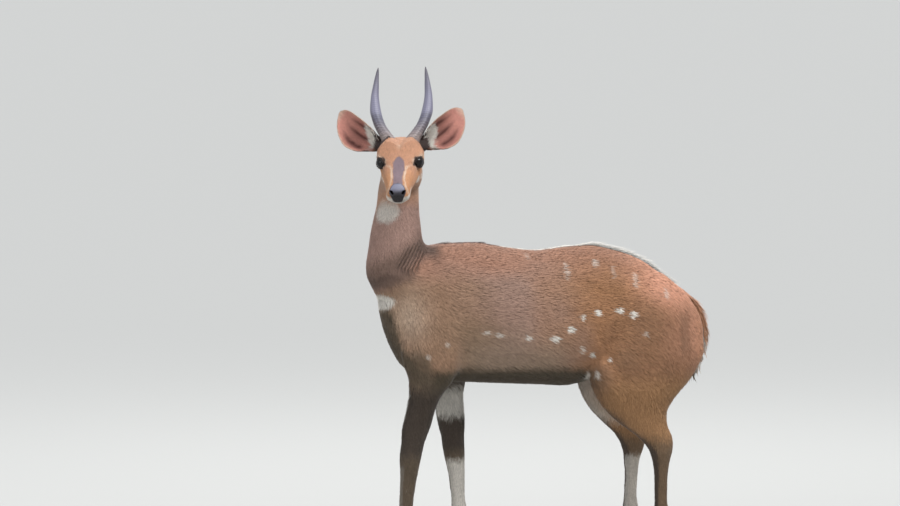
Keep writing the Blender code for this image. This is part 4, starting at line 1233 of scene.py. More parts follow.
TUFT_SUNK = 0.0012  # root below the skin
TUFT_MIDDLE = 0.42  # share of its length where a tuft is broadest
TUFT_YAW = radians(11)  # how far tufts stray from the lie of the coat
TUFT_PATCH = 0.003  # side of a tuft's place in the map
CORONET_FRONT, CORONET_SLOPE, CLAW_WALL = 0.034, 0.4, 0.016
TINT_VARIES, TINT_LEAST, TINT_MOST = 0.09, 0.75, 1.3  # shade of one tuft against the next
SCATTER_CELL, SCATTER_BITS = 0.01, 7  # side of the cells that keep neighbours together, and their bits
LENGTH_VARIES, WIDTH_VARIES, HEIGHT_VARIES = (0.75, 1.25), (0.75, 1.3), (0.45, 1.0)
COVER_LEAST = 0.2  # places with less cover stay bare
CORONET_OVERHANG = 0.0034  # how far hair lifts over the top of a hoof
TUFT_SHADES = (0.82, 1.0, 1.06)  # from root to tip
TUFT_THICK, TUFT_FLARE, TUFT_TIP_LIFT = 0.5, 0.45, 0.3
GOLDEN = 0.61803  # spreads the numbers of the tufts
SEED = 41

# Pieces of the coat, by the numbers that coat_piece gives them
COAT_PIECES = ("coat_head", "coat_ears", "coat_neck", "coat_trunk_left", "coat_trunk_right",
               "coat_haunch_left", "coat_haunch_right", "coat_forelegs", "coat_hindlegs")
PIECE_LIMIT = 33000  # tufts in one piece


def coronet_room(p):
    """Height above the top edge of the nearest hoof."""
    room = np.full(len(p.points), 1.0)
    for leg in LEGS:
        low, high = corners_of(leg + "_claw_outer")
        near = (np.abs(p.points[:, 0] - (low[0] + high[0]) / 2) < 0.05) & (p.points[:, 2] < 0.06)
        near &= np.abs(p.points[:, 1] - (low[1] + high[1]) / 2) < 0.045
        edge = CORONET_FRONT - CORONET_SLOPE * (p.points[:, 0] - low[0] - CLAW_WALL)
        room = np.where(near, p.points[:, 2] - edge, room)
    return room


def hair_sizes(p, sizes):
    """Length, width and cover of the hair at each place."""
    count = len(p.points)
    length, width, cover = (np.full(count, value) for value in (sizes["side"], 0.0021, 2.3))

    def blend(weight, long, wide, over):
        nonlocal length, width, cover
        length = length + (long - length) * weight
        width = width + (wide - width) * weight
        cover = cover + (over - cover) * weight

    blend(step(0.46, 0.42, p.z), sizes["belly"], 0.0023, 2.2)
    blend(step(-0.2, -0.3, p.x), sizes["shoulder"], 0.0019, 2.2)
    blend(step(0.2, 0.3, p.x), sizes["shoulder"], 0.002, 2.2)
    blend(p.on_neck, sizes["neck"], 0.0016, 1.9)
    blend(fold_gap(p.body)[1], sizes["neck"] * 0.6, 0.0014, 2.0)
    blend(p.on_leg, sizes["leg"], 0.0017, 1.45)
    blend(step(0.27, 0.2, p.z), sizes["shin"], 0.0014, 1.3)
    blend(p.on_tail, sizes["side"], 0.002, 2.5)
    blend(p.on_head, sizes["face"], 0.00105, 2.1)
    muzzle = p.on_head * step(0.05, 0.105, p.ahead)
    blend(muzzle, sizes["muzzle"], 0.00085, 1.7)
    blend(p.on_head * step(0.014, 0.006, p.eye_gap), sizes["muzzle"], 0.00085, 1.6)
    blend(p.on_ear, sizes["ear"], 0.0011, 1.5)
    blend(p.ear_inner, sizes["ear"] * 1.1, 0.0008, 0.45)
    bare = (p.pad > -0.0004) | (p.nostril < 0.0012) | (p.eye_gap < 0.0022) | (p.mouth < 0.0009)
    bare |= coronet_room(p) < 0.0006
    return length, width, np.where(bare, 0.0, cover)


def scatter(skin, density, random):
    """Even places over the skin: their triangles and shares of its corners."""
    corners = skin.points[skin.triangles]
    area = norms(np.cross(corners[:, 1] - corners[:, 0], corners[:, 2] - corners[:, 0])) / 2
    cell = ((corners.mean(1) - skin.points.min(0)) / SCATTER_CELL).astype(np.int64)
    code = np.zeros(len(cell), np.int64)
    for bit in range(SCATTER_BITS):
        for axis in range(3):
            code |= ((cell[:, axis] >> bit) & 1) << (3 * bit + axis)
    order = np.argsort(code, kind="stable")
    total = np.cumsum((area * density)[order])
    count = int(total[-1])
    picks = (np.arange(count) + random.random(count)) * (total[-1] / count)
    chosen = order[np.clip(np.searchsorted(total, picks), 0, len(order) - 1)]
    a, b = np.sqrt(random.random(count)), random.random(count)
    return chosen, np.stack([1 - a, a * (1 - b), a * b], 1)


def turned(ways, axes, angles):
    """Directions turned about axes that stand square to them."""
    return ways * np.cos(angles)[:, None] + np.cross(axes, ways) * np.sin(angles)[:, None]


def tuft_mesh(name, spine, width, tops, tint, spread, places):
    """Closed tapering tufts. spine holds the root, rings and tip of each one, tops the ring normals."""
    count, knots = len(spine), spine.shape[1]
    rings = knots - 2
    each = 3 * rings + 2
    points = np.empty((count, each, 3))
    points[:, 0], points[:, -1] = spine[:, 0], spine[:, -1]
    marks = np.zeros((count, each, 3))
    marks[:, -1, 0] = 1.0
    shade = np.empty((count, each, 4))
    shade[:, :, 3] = 1.0
    facing = np.empty((count, each, 3))
    facing[:, 0] = tops[:, 0]
    facing[:, -1] = unit(tops[:, -1] + TUFT_TIP_LIFT * unit(spine[:, -1] - spine[:, -2]))
    shade[:, 0, :3], shade[:, -1, :3] = tint * spread[0], tint * spread[-1]
    for ring in range(rings):
        here = spine[:, ring + 1]
        along = unit(spine[:, ring + 2] - spine[:, ring])
        top = unit(tops[:, ring])
        across = unit(np.cross(along, top))
        reach = (width[:, ring] / 2)[:, None]
        at = 1 + 3 * ring
        points[:, at], points[:, at + 1] = here - across * reach, here + across * reach
        points[:, at + 2] = here + top * reach * TUFT_THICK
        facing[:, at], facing[:, at + 1] = unit(top - across * TUFT_FLARE), unit(top + across * TUFT_FLARE)
        facing[:, at + 2] = top
        marks[:, at:at + 3, 0] = (ring + 1) / (rings + 1)
        marks[:, at, 1], marks[:, at + 1, 1] = -1.0, 1.0
        shade[:, at:at + 3, :3] = (tint * spread[ring + 1])[:, None, :]
    faces = [(0, 1 + (k + 1) % 3, 1 + k) for k in range(3)]
    for ring in range(rings - 1):
        low, high = 1 + 3 * ring, 4 + 3 * ring
        for k in range(3):
            n = (k + 1) % 3
            faces += [(low + k, low + n, high + n), (low + k, high + n, high + k)]
    last = 1 + 3 * (rings - 1)
    faces += [(last + k, last + (k + 1) % 3, each - 1) for k in range(3)]
    faces = np.array(faces)[:, ::-1]
    return build_tufts(name, points, faces, marks, shade, facing, places)


def build_tufts(name, points, faces, marks, shade, facing, places):
    count, each = points.shape[:2]
    whole = (faces[None] + (np.arange(count) * each)[:, None, None]).reshape(-1, 3)
    mesh = bpy.data.meshes.new(name)
    mesh.vertices.add(count * each)
    mesh.vertices.foreach_set("co", points.astype(np.float32).ravel())
    mesh.loops.add(len(whole) * 3)
    mesh.loops.foreach_set("vertex_index", whole.astype(np.int32).ravel())
    mesh.polygons.add(len(whole))
    mesh.polygons.foreach_set("loop_start", np.arange(0, len(whole) * 3, 3, dtype=np.int32))
    mesh.update(calc_edges=True)
    put_layer(mesh, "coat", "FLOAT_COLOR", shade)
    marks[:, :, 2] = np.modf(np.arange(count) * GOLDEN)[0][:, None]
    put_layer(mesh, "strand", "FLOAT_VECTOR", marks)
    spot = places[:, None, :] + (marks[:, :, :2] - (0.5, 0.0)) * (TUFT_PATCH, TUFT_PATCH / 2)
    spot = np.clip(spot, 0.0, 1.0).reshape(-1, 2)
    layer = mesh.uv_layers.new(name=BAKE_MAP)
    layer.uv.foreach_set("vector", spot[whole.ravel()].astype(np.float32).ravel())
    mesh.shade_smooth()
    mesh.normals_split_custom_set_from_vertices(facing.reshape(-1, 3).tolist())
    thing = bpy.data.objects.new(name, mesh)
    bpy.context.scene.collection.objects.link(thing)
    return thing


def varied(tint, random):
    """Colours of tufts, each a little lighter or darker."""
    return tint * random.normal(1.0, TINT_VARIES, len(tint)).clip(TINT_LEAST, TINT_MOST)[:, None]


class Roots:
    """Places where tufts stand: points, normals, lie, map places and everything about them."""

    def __init__(self, skin, chosen, shares):
        corners = skin.triangles[chosen]
        self.points = (skin.points[corners] * shares[:, :, None]).sum(1)
        self.normals = unit((skin.normals[corners] * shares[:, :, None]).sum(1))
        self.places = (skin.map[chosen] * shares[:, :, None]).sum(1)
        ear = (skin.ear[corners] * shares[:, :, None]).sum(1)
        self.p = Places(self.points, self.normals, ear)


def grow_coat(skin, colours, sizes):
    """Short hair over the whole skin, in pieces."""
    random = np.random.default_rng(SEED)
    length, width, cover = hair_sizes(skin.middles(), sizes)
    roots = Roots(skin, *scatter(skin, cover / (0.5 * length * width), random))
    p = roots.p
    length, width, cover = hair_sizes(p, sizes)
    keep = cover > COVER_LEAST
    count = len(length)
    length = length * random.uniform(*LENGTH_VARIES, count)
    width = width * random.uniform(*WIDTH_VARIES, count)
    lie = turned(hair_lie(p), roots.normals, random.uniform(-TUFT_YAW, TUFT_YAW, count))
    depth = coat_depth(roots.points) * np.where(p.on_ear > 0.5, 0.6, 1.0)
    height = depth * random.uniform(*HEIGHT_VARIES, count)
    overhang = CORONET_OVERHANG * step(0.016, 0.004, coronet_room(p))
    tint = varied(coat_colour(p, colours), random)
    half, half_top = skin.onto(roots.points + lie * (length * TUFT_MIDDLE)[:, None])
    tip, tip_top = skin.onto(roots.points + lie * length[:, None])
    spine = np.stack([roots.points - roots.normals * np.minimum(TUFT_SUNK, depth * 0.8)[:, None],
                      half + half_top * (height * 0.6 + overhang * 0.5)[:, None],
                      tip + tip_top * (height + overhang)[:, None]], 1)
    piece = coat_piece(p)
    made = []
    for number, name in enumerate(COAT_PIECES):
        mine = np.nonzero((piece == number) & keep)[0]
        for part in range(0, len(mine), PIECE_LIMIT):
            take = mine[part:part + PIECE_LIMIT]
            title = name if len(mine) <= PIECE_LIMIT else f"{name}_{part // PIECE_LIMIT + 1}"
            made.append(tuft_mesh(title, spine[take], width[take, None], half_top[take, None], tint[take],
                                  TUFT_SHADES, roots.places[take]))
    return made


def coat_piece(p):
    """The number of the coat piece that each place belongs to."""
    left = p.y < 0
    piece = np.where(left, 3, 4)
    piece = np.where(p.x > 0.045, np.where(left, 5, 6), piece)
    piece = np.where(p.z < 0.4, np.where(p.x < 0, 7, 8), piece)
    piece = np.where((p.on_neck > 0.5) | (p.z > 0.8), 2, piece)
    piece = np.where(p.on_head > 0.5, 0, piece)
    return np.where(p.on_ear > 0.5, 1, piece)


# -------- long hair

LONG_SHARES = (0.0, 0.22, 0.5, 0.78, 1.0)
LONG_SHADES = (0.75, 0.92, 1.0, 1.05, 1.1)
LONG_MOST = 1.1  # longest hair, against the size asked for
CREST_DENSITY, TAIL_DENSITY, EAR_DENSITY, POLL_DENSITY = 130000.0, 90000.0, 420000.0, 500000.0
LASHES, LASH_LENGTH = 34, 0.0075


def grow_long(name, roots, random, size, least, widths, rise, way, tint):
    """Long hair on roots, from least times its size up: way is its direction, rise how steeply it starts."""
    count = len(roots.points)
    length = random.uniform(size * least, size * LONG_MOST, count)
    way = unit(way - roots.normals * (way * roots.normals).sum(1)[:, None])
    way = turned(way, roots.normals, random.uniform(-TUFT_YAW, TUFT_YAW, count) * 1.3)
    climb = rise * random.uniform(0.6, 1.3, count)
    knots = []
    for share in LONG_SHARES:
        lift = np.sin(np.minimum(climb * (1 - 0.45 * share), 1.5))
        knots.append(roots.points + way * (length * share)[:, None]
                     + roots.normals * (length * share * lift)[:, None])
    knots[0] = knots[0] - roots.normals * TUFT_SUNK
    spine = np.stack(knots, 1)
    width = random.uniform(*widths, count)[:, None] * np.array((0.8, 1.0, 0.7))
    tops = np.repeat(unit(roots.normals + 0.3 * way)[:, None], 3, 1)
    return tuft_mesh(name, spine, width, tops, varied(tint, random), LONG_SHADES, roots.places)


def roots_where(skin, wanted, density, random):
    """Roots at an even density wherever wanted, a function of the places, is true."""
    return Roots(skin, *scatter(skin, density * wanted(skin.middles()).astype(float) + 1e-9, random))


def crest_zone(p):
    along = (p.x > CREST_FROM - 0.16) & (p.x < CREST_TO + 0.02)
    return (np.abs(p.y) < 0.0065) & (p.z > 0.6) & (p.z < 0.8) & along


def tail_zone(p):
    return (p.on_tail > 0.5) & (p.z < 0.63)


def ear_zone(p):
    return (p.ear_inner > 0.5) & (p.share > 0.04) & (p.share < ear_fringe(p) - 0.03) & (p.z > 0.997)


def poll_zone(p):
    nest = np.hypot((p.ahead + 0.066) / 0.02, (p.side - 0.044) / 0.013)
    foot = (p.horn_gap < 0.006) & (p.horn_height > -0.035)
    foot = foot & (p.side - 0.004 * np.sign(p.left) > 0.034 + 1.03 * (1.022 - p.z))
    return ((nest < 1.0) | foot) & (p.z > 0.96) & (p.on_ear < 0.5) & (p.out > -0.018)


def grow_long_hair(skin, colours, sizes):
    """The crest, the long hair of tail, ears and poll, and the lashes."""
    random = np.random.default_rng(SEED + 1)
    roots = roots_where(skin, crest_zone, CREST_DENSITY, random)
    p = roots.p
    white = step(CREST_FROM - 0.012, CREST_FROM + 0.004, p.x)[:, None]
    tint = np.array(colours["collar"]) * (1 - white) + np.array(colours["white"]) * white
    way = np.tile((1.0, 0.0, -0.02), (len(p.x), 1)) + np.sign(p.y)[:, None] * np.array((0, 0.1, 0))
    proud = step(0.06, 0.14, p.x)
    size, rise = sizes["crest"] * (1 + 0.25 * proud), 0.22 + 0.45 * proud
    made = [grow_long("crest", roots, random, size, 0.7, (0.0013, 0.0022), rise, way, tint)]
    roots = roots_where(skin, tail_zone, TAIL_DENSITY, random)
    p = roots.p
    way = np.stack([np.full(len(p.x), 0.12), 0.25 * np.sign(p.y), np.full(len(p.x), -1.0)], 1)
    made.append(grow_long("tail_hair", roots, random, sizes["tail"], 0.6, (0.0016, 0.0028), 0.22, way,
                          coat_colour(p, colours)))
    roots = roots_where(skin, ear_zone, EAR_DENSITY, random)
    p = roots.p
    way = np.zeros((len(p.x), 3))
    for word, side in SIDES.items():
        ear = Ear(word)
        lean = np.array(ear.tip.normalized()) - 0.25 * p.across[:, None] * np.array(ear.chord)
        mine = p.ear_side * side > 0
        way[mine] = lean[mine]
    size, tint = 0.75 * sizes["ear_hair"], np.tile(colours["white"], (len(p.x), 1))
    made.append(grow_long("ear_hair", roots, random, size, 0.6, (0.0007, 0.0012), 0.45, way, tint))
    roots = roots_where(skin, poll_zone, POLL_DENSITY, random)
    p = roots.p
    free = step(0.002, 0.01, p.horn_gap)
    sideways = (0.8 * np.sign(p.left) * free)[:, None]
    way = sideways * np.array(LEFT) + np.array(UP) - 0.2 * np.array(HEADING)
    size, tint = size * (0.6 + 0.4 * free), np.tile(colours["ear_base"], (len(p.x), 1))
    rise = 0.35 + 0.55 * free
    made.append(grow_long("poll_hair", roots, random, size, 0.7, (0.0009, 0.0015), rise, way, tint))
    made.append(grow_lashes(skin, colours, random))
    return made


def grow_lashes(skin, colours, random):
    """Dark lashes along the upper lids."""
    spots, ways = [], []
    for word in SIDES:
        eye = EyeFrame(word)
        for k in range(LASHES):
            across = (-0.92 + 1.72 * (k + random.random()) / LASHES) * EYE_LONG * 0.9
            upper, _ = eye.opening(np.array([across]))
            rise = float(upper[0]) + 0.055
            out = np.array((sin(across) * cos(rise), sin(rise), cos(across) * cos(rise)))
            spots.append(eye.centre + eye.axes @ out * (EYE_RADIUS + LID * 0.7))
            ways.append(unit((eye.axes @ (out + np.array((0.0, 0.25, 0.15))))[None])[0])
    spots, ways = np.array(spots), np.array(ways)
    count = len(spots)
    length = random.uniform(0.7, 1.1, count) * LASH_LENGTH
    lift = np.array(UP)
    knots = [spots + ways * (length * share)[:, None] + lift * (0.35 * length * share ** 2)[:, None]
             for share in LONG_SHARES]
    spine = np.stack(knots, 1)
    width = np.tile((0.00055, 0.0005, 0.00035), (count, 1))
    tops = np.tile(lift, (count, 3, 1))
    tint = np.tile(colours["dark"], (count, 1)) * 0.6
    places = []
    for spot in skin.onto(spots)[0]:
        nearest = np.argmin(norms(skin.points - spot))
        row, triangle = (found[-1] for found in np.nonzero(skin.triangles.T == nearest))
        places.append(skin.map[triangle, row])
    return tuft_mesh("lashes", spine, width, tops, tint, (1.0,) * 5, np.array(places))


# -------- horns

HORN_KEEL, HORN_TWIST, HORN_KEEL_START = 0.16, radians(200), 0.6
HORN_BOW = 0.01
HORN_ROWS, HORN_SIDES = 190, 56
HORN_FIT = 0.0004  # how far the rings' crests lie inside the outline
RING_SHARES = (-0.135, -0.112, -0.094, -0.07, -0.051, -0.027, -0.006, 0.016, 0.034, 0.058, 0.079, 0.108,
               0.133, 0.168, 0.203, 0.25, 0.305)
RING_HEIGHT = 0.0014


def lofted(name, rings, layer, places):
    """A smooth closed piece over rings, which keeps the place of each of its points for its colours."""
    thing = object_of(name, *loft(rings))
    put_layer(thing.data, layer, "FLOAT_VECTOR", places)
    thing.data.shade_smooth()
    return thing


def make_horn(word):
    root, out, back, rise = horn_frame(word)
    levels = np.linspace(-HORN_SUNK / HORN_LENGTH, 1, HORN_ROWS)
    rings, places, reliefs = [], [], []
    for t in levels:
        share = max(t, 0.0)
        outwards = float(curve(HORN_SPREAD, share)) + HORN_ROOT_LEAN * min(t, 0) * HORN_LENGTH
        heart = root + rise * (t * HORN_LENGTH) + out * outwards + back * (HORN_BOW * sin(pi * share))
        girth = float(curve(HORN_GIRTH, share))
        ring = []
        for k in range(HORN_SIDES):
            angle = 2 * pi * k / HORN_SIDES
            keel = max(0.0, cos(angle - HORN_TWIST * share - HORN_KEEL_START)) ** 5
            relief = horn_relief(t, angle, girth, keel)
            reliefs.append(relief / RING_HEIGHT)
            reach = girth * (1 + HORN_KEEL * keel) - HORN_FIT + relief
            ring.append(heart + out * (reach * cos(angle)) + back * (reach * sin(angle)))
            places.append((t, cos(angle), sin(angle)))
        rings.append(ring)
    horn = lofted(f"horn_{word}_fine", rings, "horn_place", places)
    put_layer(horn.data, "relief", "FLOAT", reliefs)
    return horn


def horn_relief(share, angle, girth, keel):
    """Wavy rings round the base, and shallow grooves along the rest."""
    wave = 0.006 * sin(2 * angle + 1.3) + 0.004 * sin(3 * angle + 40 * share)
    rings = 0.0
    for number, place in enumerate(RING_SHARES):
        strength = min(1.0, 0.9 - place / 0.45) * (0.75 + 0.25 * sin(number * 2.1))
        rings += strength * float(bell(share + wave - place, 0.0065))
    grooves = sin(9 * angle - 5 * share) * 0.5 + sin(17 * angle + 8 * share + 1.0) * 0.35
    fade = min(1.0, girth / 0.01)
    return RING_HEIGHT * (rings - 0.55) * (1 if share < 0.4 else 0) * float(step(0.4, 0.3, share)) \
        + 0.00022 * grooves * fade * (1 - 0.6 * keel)


# -------- eyes

EYE_ROWS, EYE_COLUMNS = 40, 64
CORNEA_RISE, CORNEA_WIDTH = 0.0006, 0.55


def make_eyeball(word):
    """An eyeball with the clear bulge in front, its places kept for its colours."""
    eye = EyeFrame(word)
    rings, places = [], []
    for row in range(1, EYE_ROWS):
        tilt = pi * row / EYE_ROWS
        reach = EYE_RADIUS - 0.0001 + CORNEA_RISE * float(bell(tilt, CORNEA_WIDTH))
        ring = []
        for k in range(EYE_COLUMNS):
            turn = 2 * pi * k / EYE_COLUMNS
            way = np.array((sin(tilt) * cos(turn), sin(tilt) * sin(turn), cos(tilt)))
            ring.append(Vector(eye.centre + eye.axes @ way * reach))
            places.append(way)
        rings.append(ring)
    return lofted("eyeball_" + word, rings, "eye_place", places)


# -------- hooves

CLAW_TOE, CLAW_HEEL, CLAW_WIDTH, CLAW_NARROWING = -0.052, 0.001, 0.0185, 0.1
CLAW_BROADEST, CLAW_BOW = 0.38, (0.5, 0.62, 0.55)
CLAW_LEVELS, CLAW_STEPS = 34, 30
SOLE_ROUND = 0.0016  # of the edge round the sole
DEWCLAW_RADII = (0.006, 0.0053, 0.0093)
DEWCLAW_LEAN = radians(-28)
DEWCLAW_ROWS, DEWCLAW_COLUMNS = 24, 28


def claw_ring(line_x, inner_y, outwards, share, inset):
    """One level of a claw: a nearly straight inner side and a bowed outer side."""
    toe = line_x + CLAW_TOE + CLAW_WALL * share + inset
    heel = line_x + CLAW_HEEL - inset
    width = CLAW_WIDTH * (1 - CLAW_NARROWING * share) - inset
    behind, ahead, fullness = CLAW_BOW
    spots = []
    for k in range(CLAW_STEPS + 1):
        f = 0.5 - 0.5 * cos(pi * k / CLAW_STEPS)
        bow = 1 - ((f - CLAW_BROADEST) / (ahead if f > CLAW_BROADEST else behind)) ** 2
        spots.append((heel + (toe - heel) * f, width * max(bow, 0.03) ** fullness))
    for k in range(1, CLAW_STEPS):
        f = 0.5 + 0.5 * cos(pi * k / CLAW_STEPS)
        spots.append((heel + (toe - heel) * f, inset + 0.0012 * sin(pi * f)))
    top = CORONET_FRONT - 0.0003
    ring = []
    for x, y in spots:
        edge = top - CORONET_SLOPE * (x - (line_x + CLAW_TOE + CLAW_WALL))
        ring.append(Vector((x, inner_y + outwards * y, edge * share)))
    return ring


def make_claw(leg, which):
    low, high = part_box(f"{leg}_claw_{which}")
    other_low, other_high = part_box(f"{leg}_claw_{'inner' if which == 'outer' else 'outer'}")
    outwards = 1 if (low.y + high.y) > (other_low.y + other_high.y) else -1
    inner_y = low.y if outwards > 0 else high.y
    line_x = high.x - CLAW_HEEL
    rings, places = [], []
    for level in range(CLAW_LEVELS + 1):
        share = (level / CLAW_LEVELS) ** 1.1
        height = share * CORONET_FRONT
        inset = SOLE_ROUND * max(0.0, 1 - height / SOLE_ROUND) ** 2 + 0.0001
        inset += 0.00028 * (0.5 + 0.5 * sin(height * 1500 + 2 * sin(height * 330)))
        inset += 0.0006 * float(step(0.88, 1.0, share))
        ring = claw_ring(line_x, inner_y, outwards, share, inset)
        rings.append(ring)
        places += [(share, (p.x - line_x) / CLAW_TOE, abs(p.y - inner_y) / CLAW_WIDTH) for p in ring]
    return lofted(f"{leg}_hoof_{which}", rings, "hoof_place", places)


def make_dewclaw(leg, which):
    """A small blunt cone of horn behind the fetlock."""
    spot = middle(f"{leg}_dewclaw_{which}")
    rings, places = [], []
    for row in range(1, DEWCLAW_ROWS):
        tilt = pi * row / DEWCLAW_ROWS
        pinch = 1 - 0.28 * float(step(0.55, 1.0, row / DEWCLAW_ROWS))
        ripple = 1 + 0.02 * sin(row * 1.9)
        ring = []
        for k in range(DEWCLAW_COLUMNS):
            turn = 2 * pi * k / DEWCLAW_COLUMNS
            way = Vector((DEWCLAW_RADII[0] * sin(tilt) * cos(turn) * pinch * ripple,
                          DEWCLAW_RADII[1] * sin(tilt) * sin(turn) * pinch * ripple,
                          DEWCLAW_RADII[2] * cos(tilt)))
            ring.append(spot + Matrix.Rotation(DEWCLAW_LEAN, 3, "Y") @ way)
            places.append((row / DEWCLAW_ROWS, cos(turn), sin(turn)))
        rings.append(ring)
    return lofted(f"{leg}_spur_{which}", rings, "hoof_place", places)


# -------- materials


def fill(tree, node, inputs):
    """Give a node's inputs their values; a socket among these is linked."""
    for key, value in inputs.items():
        if isinstance(value, bpy.types.NodeSocket):
            tree.links.new(value, node.inputs[key])
        else:
            node.inputs[key].default_value = value


def add(tree, kind, inputs, **settings):
    node = tree.nodes.new(kind)
    for key, value in settings.items():
        setattr(node, key, value)
    fill(tree, node, inputs)
    return node


def worked(tree, operation, *values):
    """A Math node's result."""
    return add(tree, "ShaderNodeMath", dict(enumerate(values)), operation=operation).outputs[0]


def times(tree, first, second):
    return worked(tree, "MULTIPLY", first, second)


def tinted(tree, vector, factor):
    """A colour made lighter or darker by a value, or a vector made longer."""
    return add(tree, "ShaderNodeVectorMath", {0: vector, "Scale": factor}, operation="SCALE").outputs[0]


def blended(tree, weight, first, second, kind="RGBA"):
    a, b, result = {"RGBA": (6, 7, 2), "FLOAT": (2, 3, 0)}[kind]
    return add(tree, "ShaderNodeMix", {0: weight, a: first, b: second}, data_type=kind).outputs[result]


def spread_of(tree, *limits):
    """A value from one range, its low and high, spread over another."""
    return add(tree, "ShaderNodeMapRange", dict(enumerate(limits))).outputs[0]


def noise_of(tree, vector, scale, detail):
    inputs = {"Vector": vector, "Scale": scale, "Detail": detail}
    return add(tree, "ShaderNodeTexNoise", inputs).outputs["Fac"]


def parts_of(tree, vector):
    return add(tree, "ShaderNodeSeparateXYZ", {0: vector}).outputs


def joined(tree, *parts):
    return add(tree, "ShaderNodeCombineXYZ", dict(enumerate(parts))).outputs[0]


def surface_place(tree):
    return add(tree, "ShaderNodeTexCoord", {}).outputs["Object"]


def layer_of(tree, name, output="Color"):
    return add(tree, "ShaderNodeAttribute", {}, attribute_name=name).outputs[output]


def effect(tree, build, inputs, **defaults):
    """The height and shade of a shared effect, whose node group is built the first time it is asked for.

    The defaults are the group's inputs; one of None is a vector.
    """
    name = build.__name__.replace("_", " ").capitalize()
    group = bpy.data.node_groups.get(name)
    if group is None:
        group = bpy.data.node_groups.new(name, "ShaderNodeTree")
        for title, default in defaults.items():
            kind = "NodeSocketVector" if default is None else "NodeSocketFloat"
            socket = group.interface.new_socket(title, in_out="INPUT", socket_type=kind)
            if default is not None:
                socket.default_value = default
        for title in ("Height", "Shade"):
            group.interface.new_socket(title, in_out="OUTPUT", socket_type="NodeSocketFloat")
        source = group.nodes.new("NodeGroupInput").outputs
        result = group.nodes.new("NodeGroupOutput")
        height, *limits = build(group, source)
        fill(group, result, {"Height": height, "Shade": spread_of(group, height, *limits)})
    return add(tree, "ShaderNodeGroup", inputs, node_tree=group).outputs


LIE_SAMPLES = 5


def lying_hair(group, source):
    """Fine light and dark streaks along the lie of the coat."""
    place = surface_place(group)
    total = None
    for number in range(LIE_SAMPLES):
        reach = times(group, source["Reach"], number - (LIE_SAMPLES - 1) / 2)
        shift = tinted(group, source["Lie"], reach)
        spot = add(group, "ShaderNodeVectorMath", {0: place, 1: shift}, operation="ADD").outputs[0]
        value = noise_of(group, spot, source["Scale"], 1.0)
        total = value if total is None else worked(group, "ADD", total, value)
    return spread_of(group, total, LIE_SAMPLES * 0.4, LIE_SAMPLES * 0.6, 0.0, 1.0), 0.0, 1.0, 0.72, 1.18


def strands(group, source):
    """Single hairs along a tuft."""
    along, across, number = parts_of(group, source["Strand"])
    across = times(group, across, source["Hairs"])
    spot = joined(group, times(group, along, 0.7), across, times(group, number, 61.0))
    return spread_of(group, noise_of(group, spot, 2.2, 2.0), 0.32, 0.68, 0.0, 1.0), 0.0, 1.0, 0.74, 1.2


def horn_growth(group, source):
    """Growth rings across horn, with fine streaks along it."""
    along, across, behind = parts_of(group, source["Place"])
    wobble = noise_of(group, source["Place"], 3.0, 2.0)
    rings = times(group, along, source["Rings"])
    rings = worked(group, "ADD", rings, times(group, wobble, 2.0))
    wave = worked(group, "SINE", times(group, rings, 2 * pi))
    wave = spread_of(group, wave, -1.0, 1.0, 0.0, 1.0)
    around = joined(group, times(group, along, 1.3), times(group, across, source["Streaks"]),
                    times(group, behind, source["Streaks"]))
    streaks = noise_of(group, around, 2.5, 4.0)
    return worked(group, "ADD", times(group, wave, 0.35), times(group, streaks, 0.65)), 0.2, 0.8, 0.74, 1.16


def new_material(name):
    material = bpy.data.materials.new(name)
    material.use_nodes = True
    tree = material.node_tree
    return material, tree, tree.nodes["Principled BSDF"]


def finish_shader(tree, shader, colour, height, distance, roughness, **more):
    """Give a shader its relief, colour and roughness, and its other settings by name, with _ for a space."""
    bump = add(tree, "ShaderNodeBump", {"Height": height, "Distance": distance, "Strength": 1.0})
    fill(tree, shader, {"Normal": bump.outputs[0], "Base Color": colour, "Roughness": roughness})
    fill(tree, shader, {key.replace("_", " "): value for key, value in more.items()})


def skin_material():
    """Skin under short hair: streaks along its lie, and smooth pebbled skin where it is bare."""
    material, tree, shader = new_material("bushbuck skin")
    lie = layer_of(tree, "lie", "Vector")
    hair_height, hair_shade = effect(tree, lying_hair, {"Lie": lie}, Lie=None, Scale=900.0, Reach=0.0009)
    bare = layer_of(tree, "bare", "Fac")
    inputs = {"Vector": surface_place(tree), "Scale": 950.0, "Smoothness": 0.6}
    pebbles = add(tree, "ShaderNodeTexVoronoi", inputs, feature="SMOOTH_F1").outputs["Distance"]
    pebbles = worked(tree, "SUBTRACT", 0.8, pebbles)
    height = blended(tree, bare, hair_height, pebbles, "FLOAT")
    shade = blended(tree, bare, hair_shade, spread_of(tree, pebbles, 0.1, 0.7, 0.85, 1.12), "FLOAT")
    rough = spread_of(tree, bare, 0.0, 1.0, 0.72, 0.24)
    finish_shader(tree, shader, tinted(tree, layer_of(tree, "coat"), shade), height, 0.0005, rough,
                  Specular_IOR_Level=0.35)
    return material


def hair_material(name, hairs, roughness):
    """Hair in tufts, each with its own colour and single hairs along it."""
    material, tree, shader = new_material(name)
    inputs = {"Strand": layer_of(tree, "strand", "Vector"), "Hairs": hairs}
    height, shade = effect(tree, strands, inputs, Strand=None, Hairs=3.0)
    finish_shader(tree, shader, tinted(tree, layer_of(tree, "coat"), shade), height, 0.0002, roughness,
                  Specular_IOR_Level=0.3, Sheen_Weight=0.1, Sheen_Roughness=0.45)
    return material


def grown(tree, layer, rings, streaks):
    """The growth of horn over a layer of places: the places, the share along, the height and the shade."""
    place = layer_of(tree, layer, "Vector")
    inputs = {"Place": place, "Rings": rings, "Streaks": streaks}
    height, shade = effect(tree, horn_growth, inputs, Place=None, Rings=30.0, Streaks=9.0)
    return place, parts_of(tree, place)["X"], height, shade


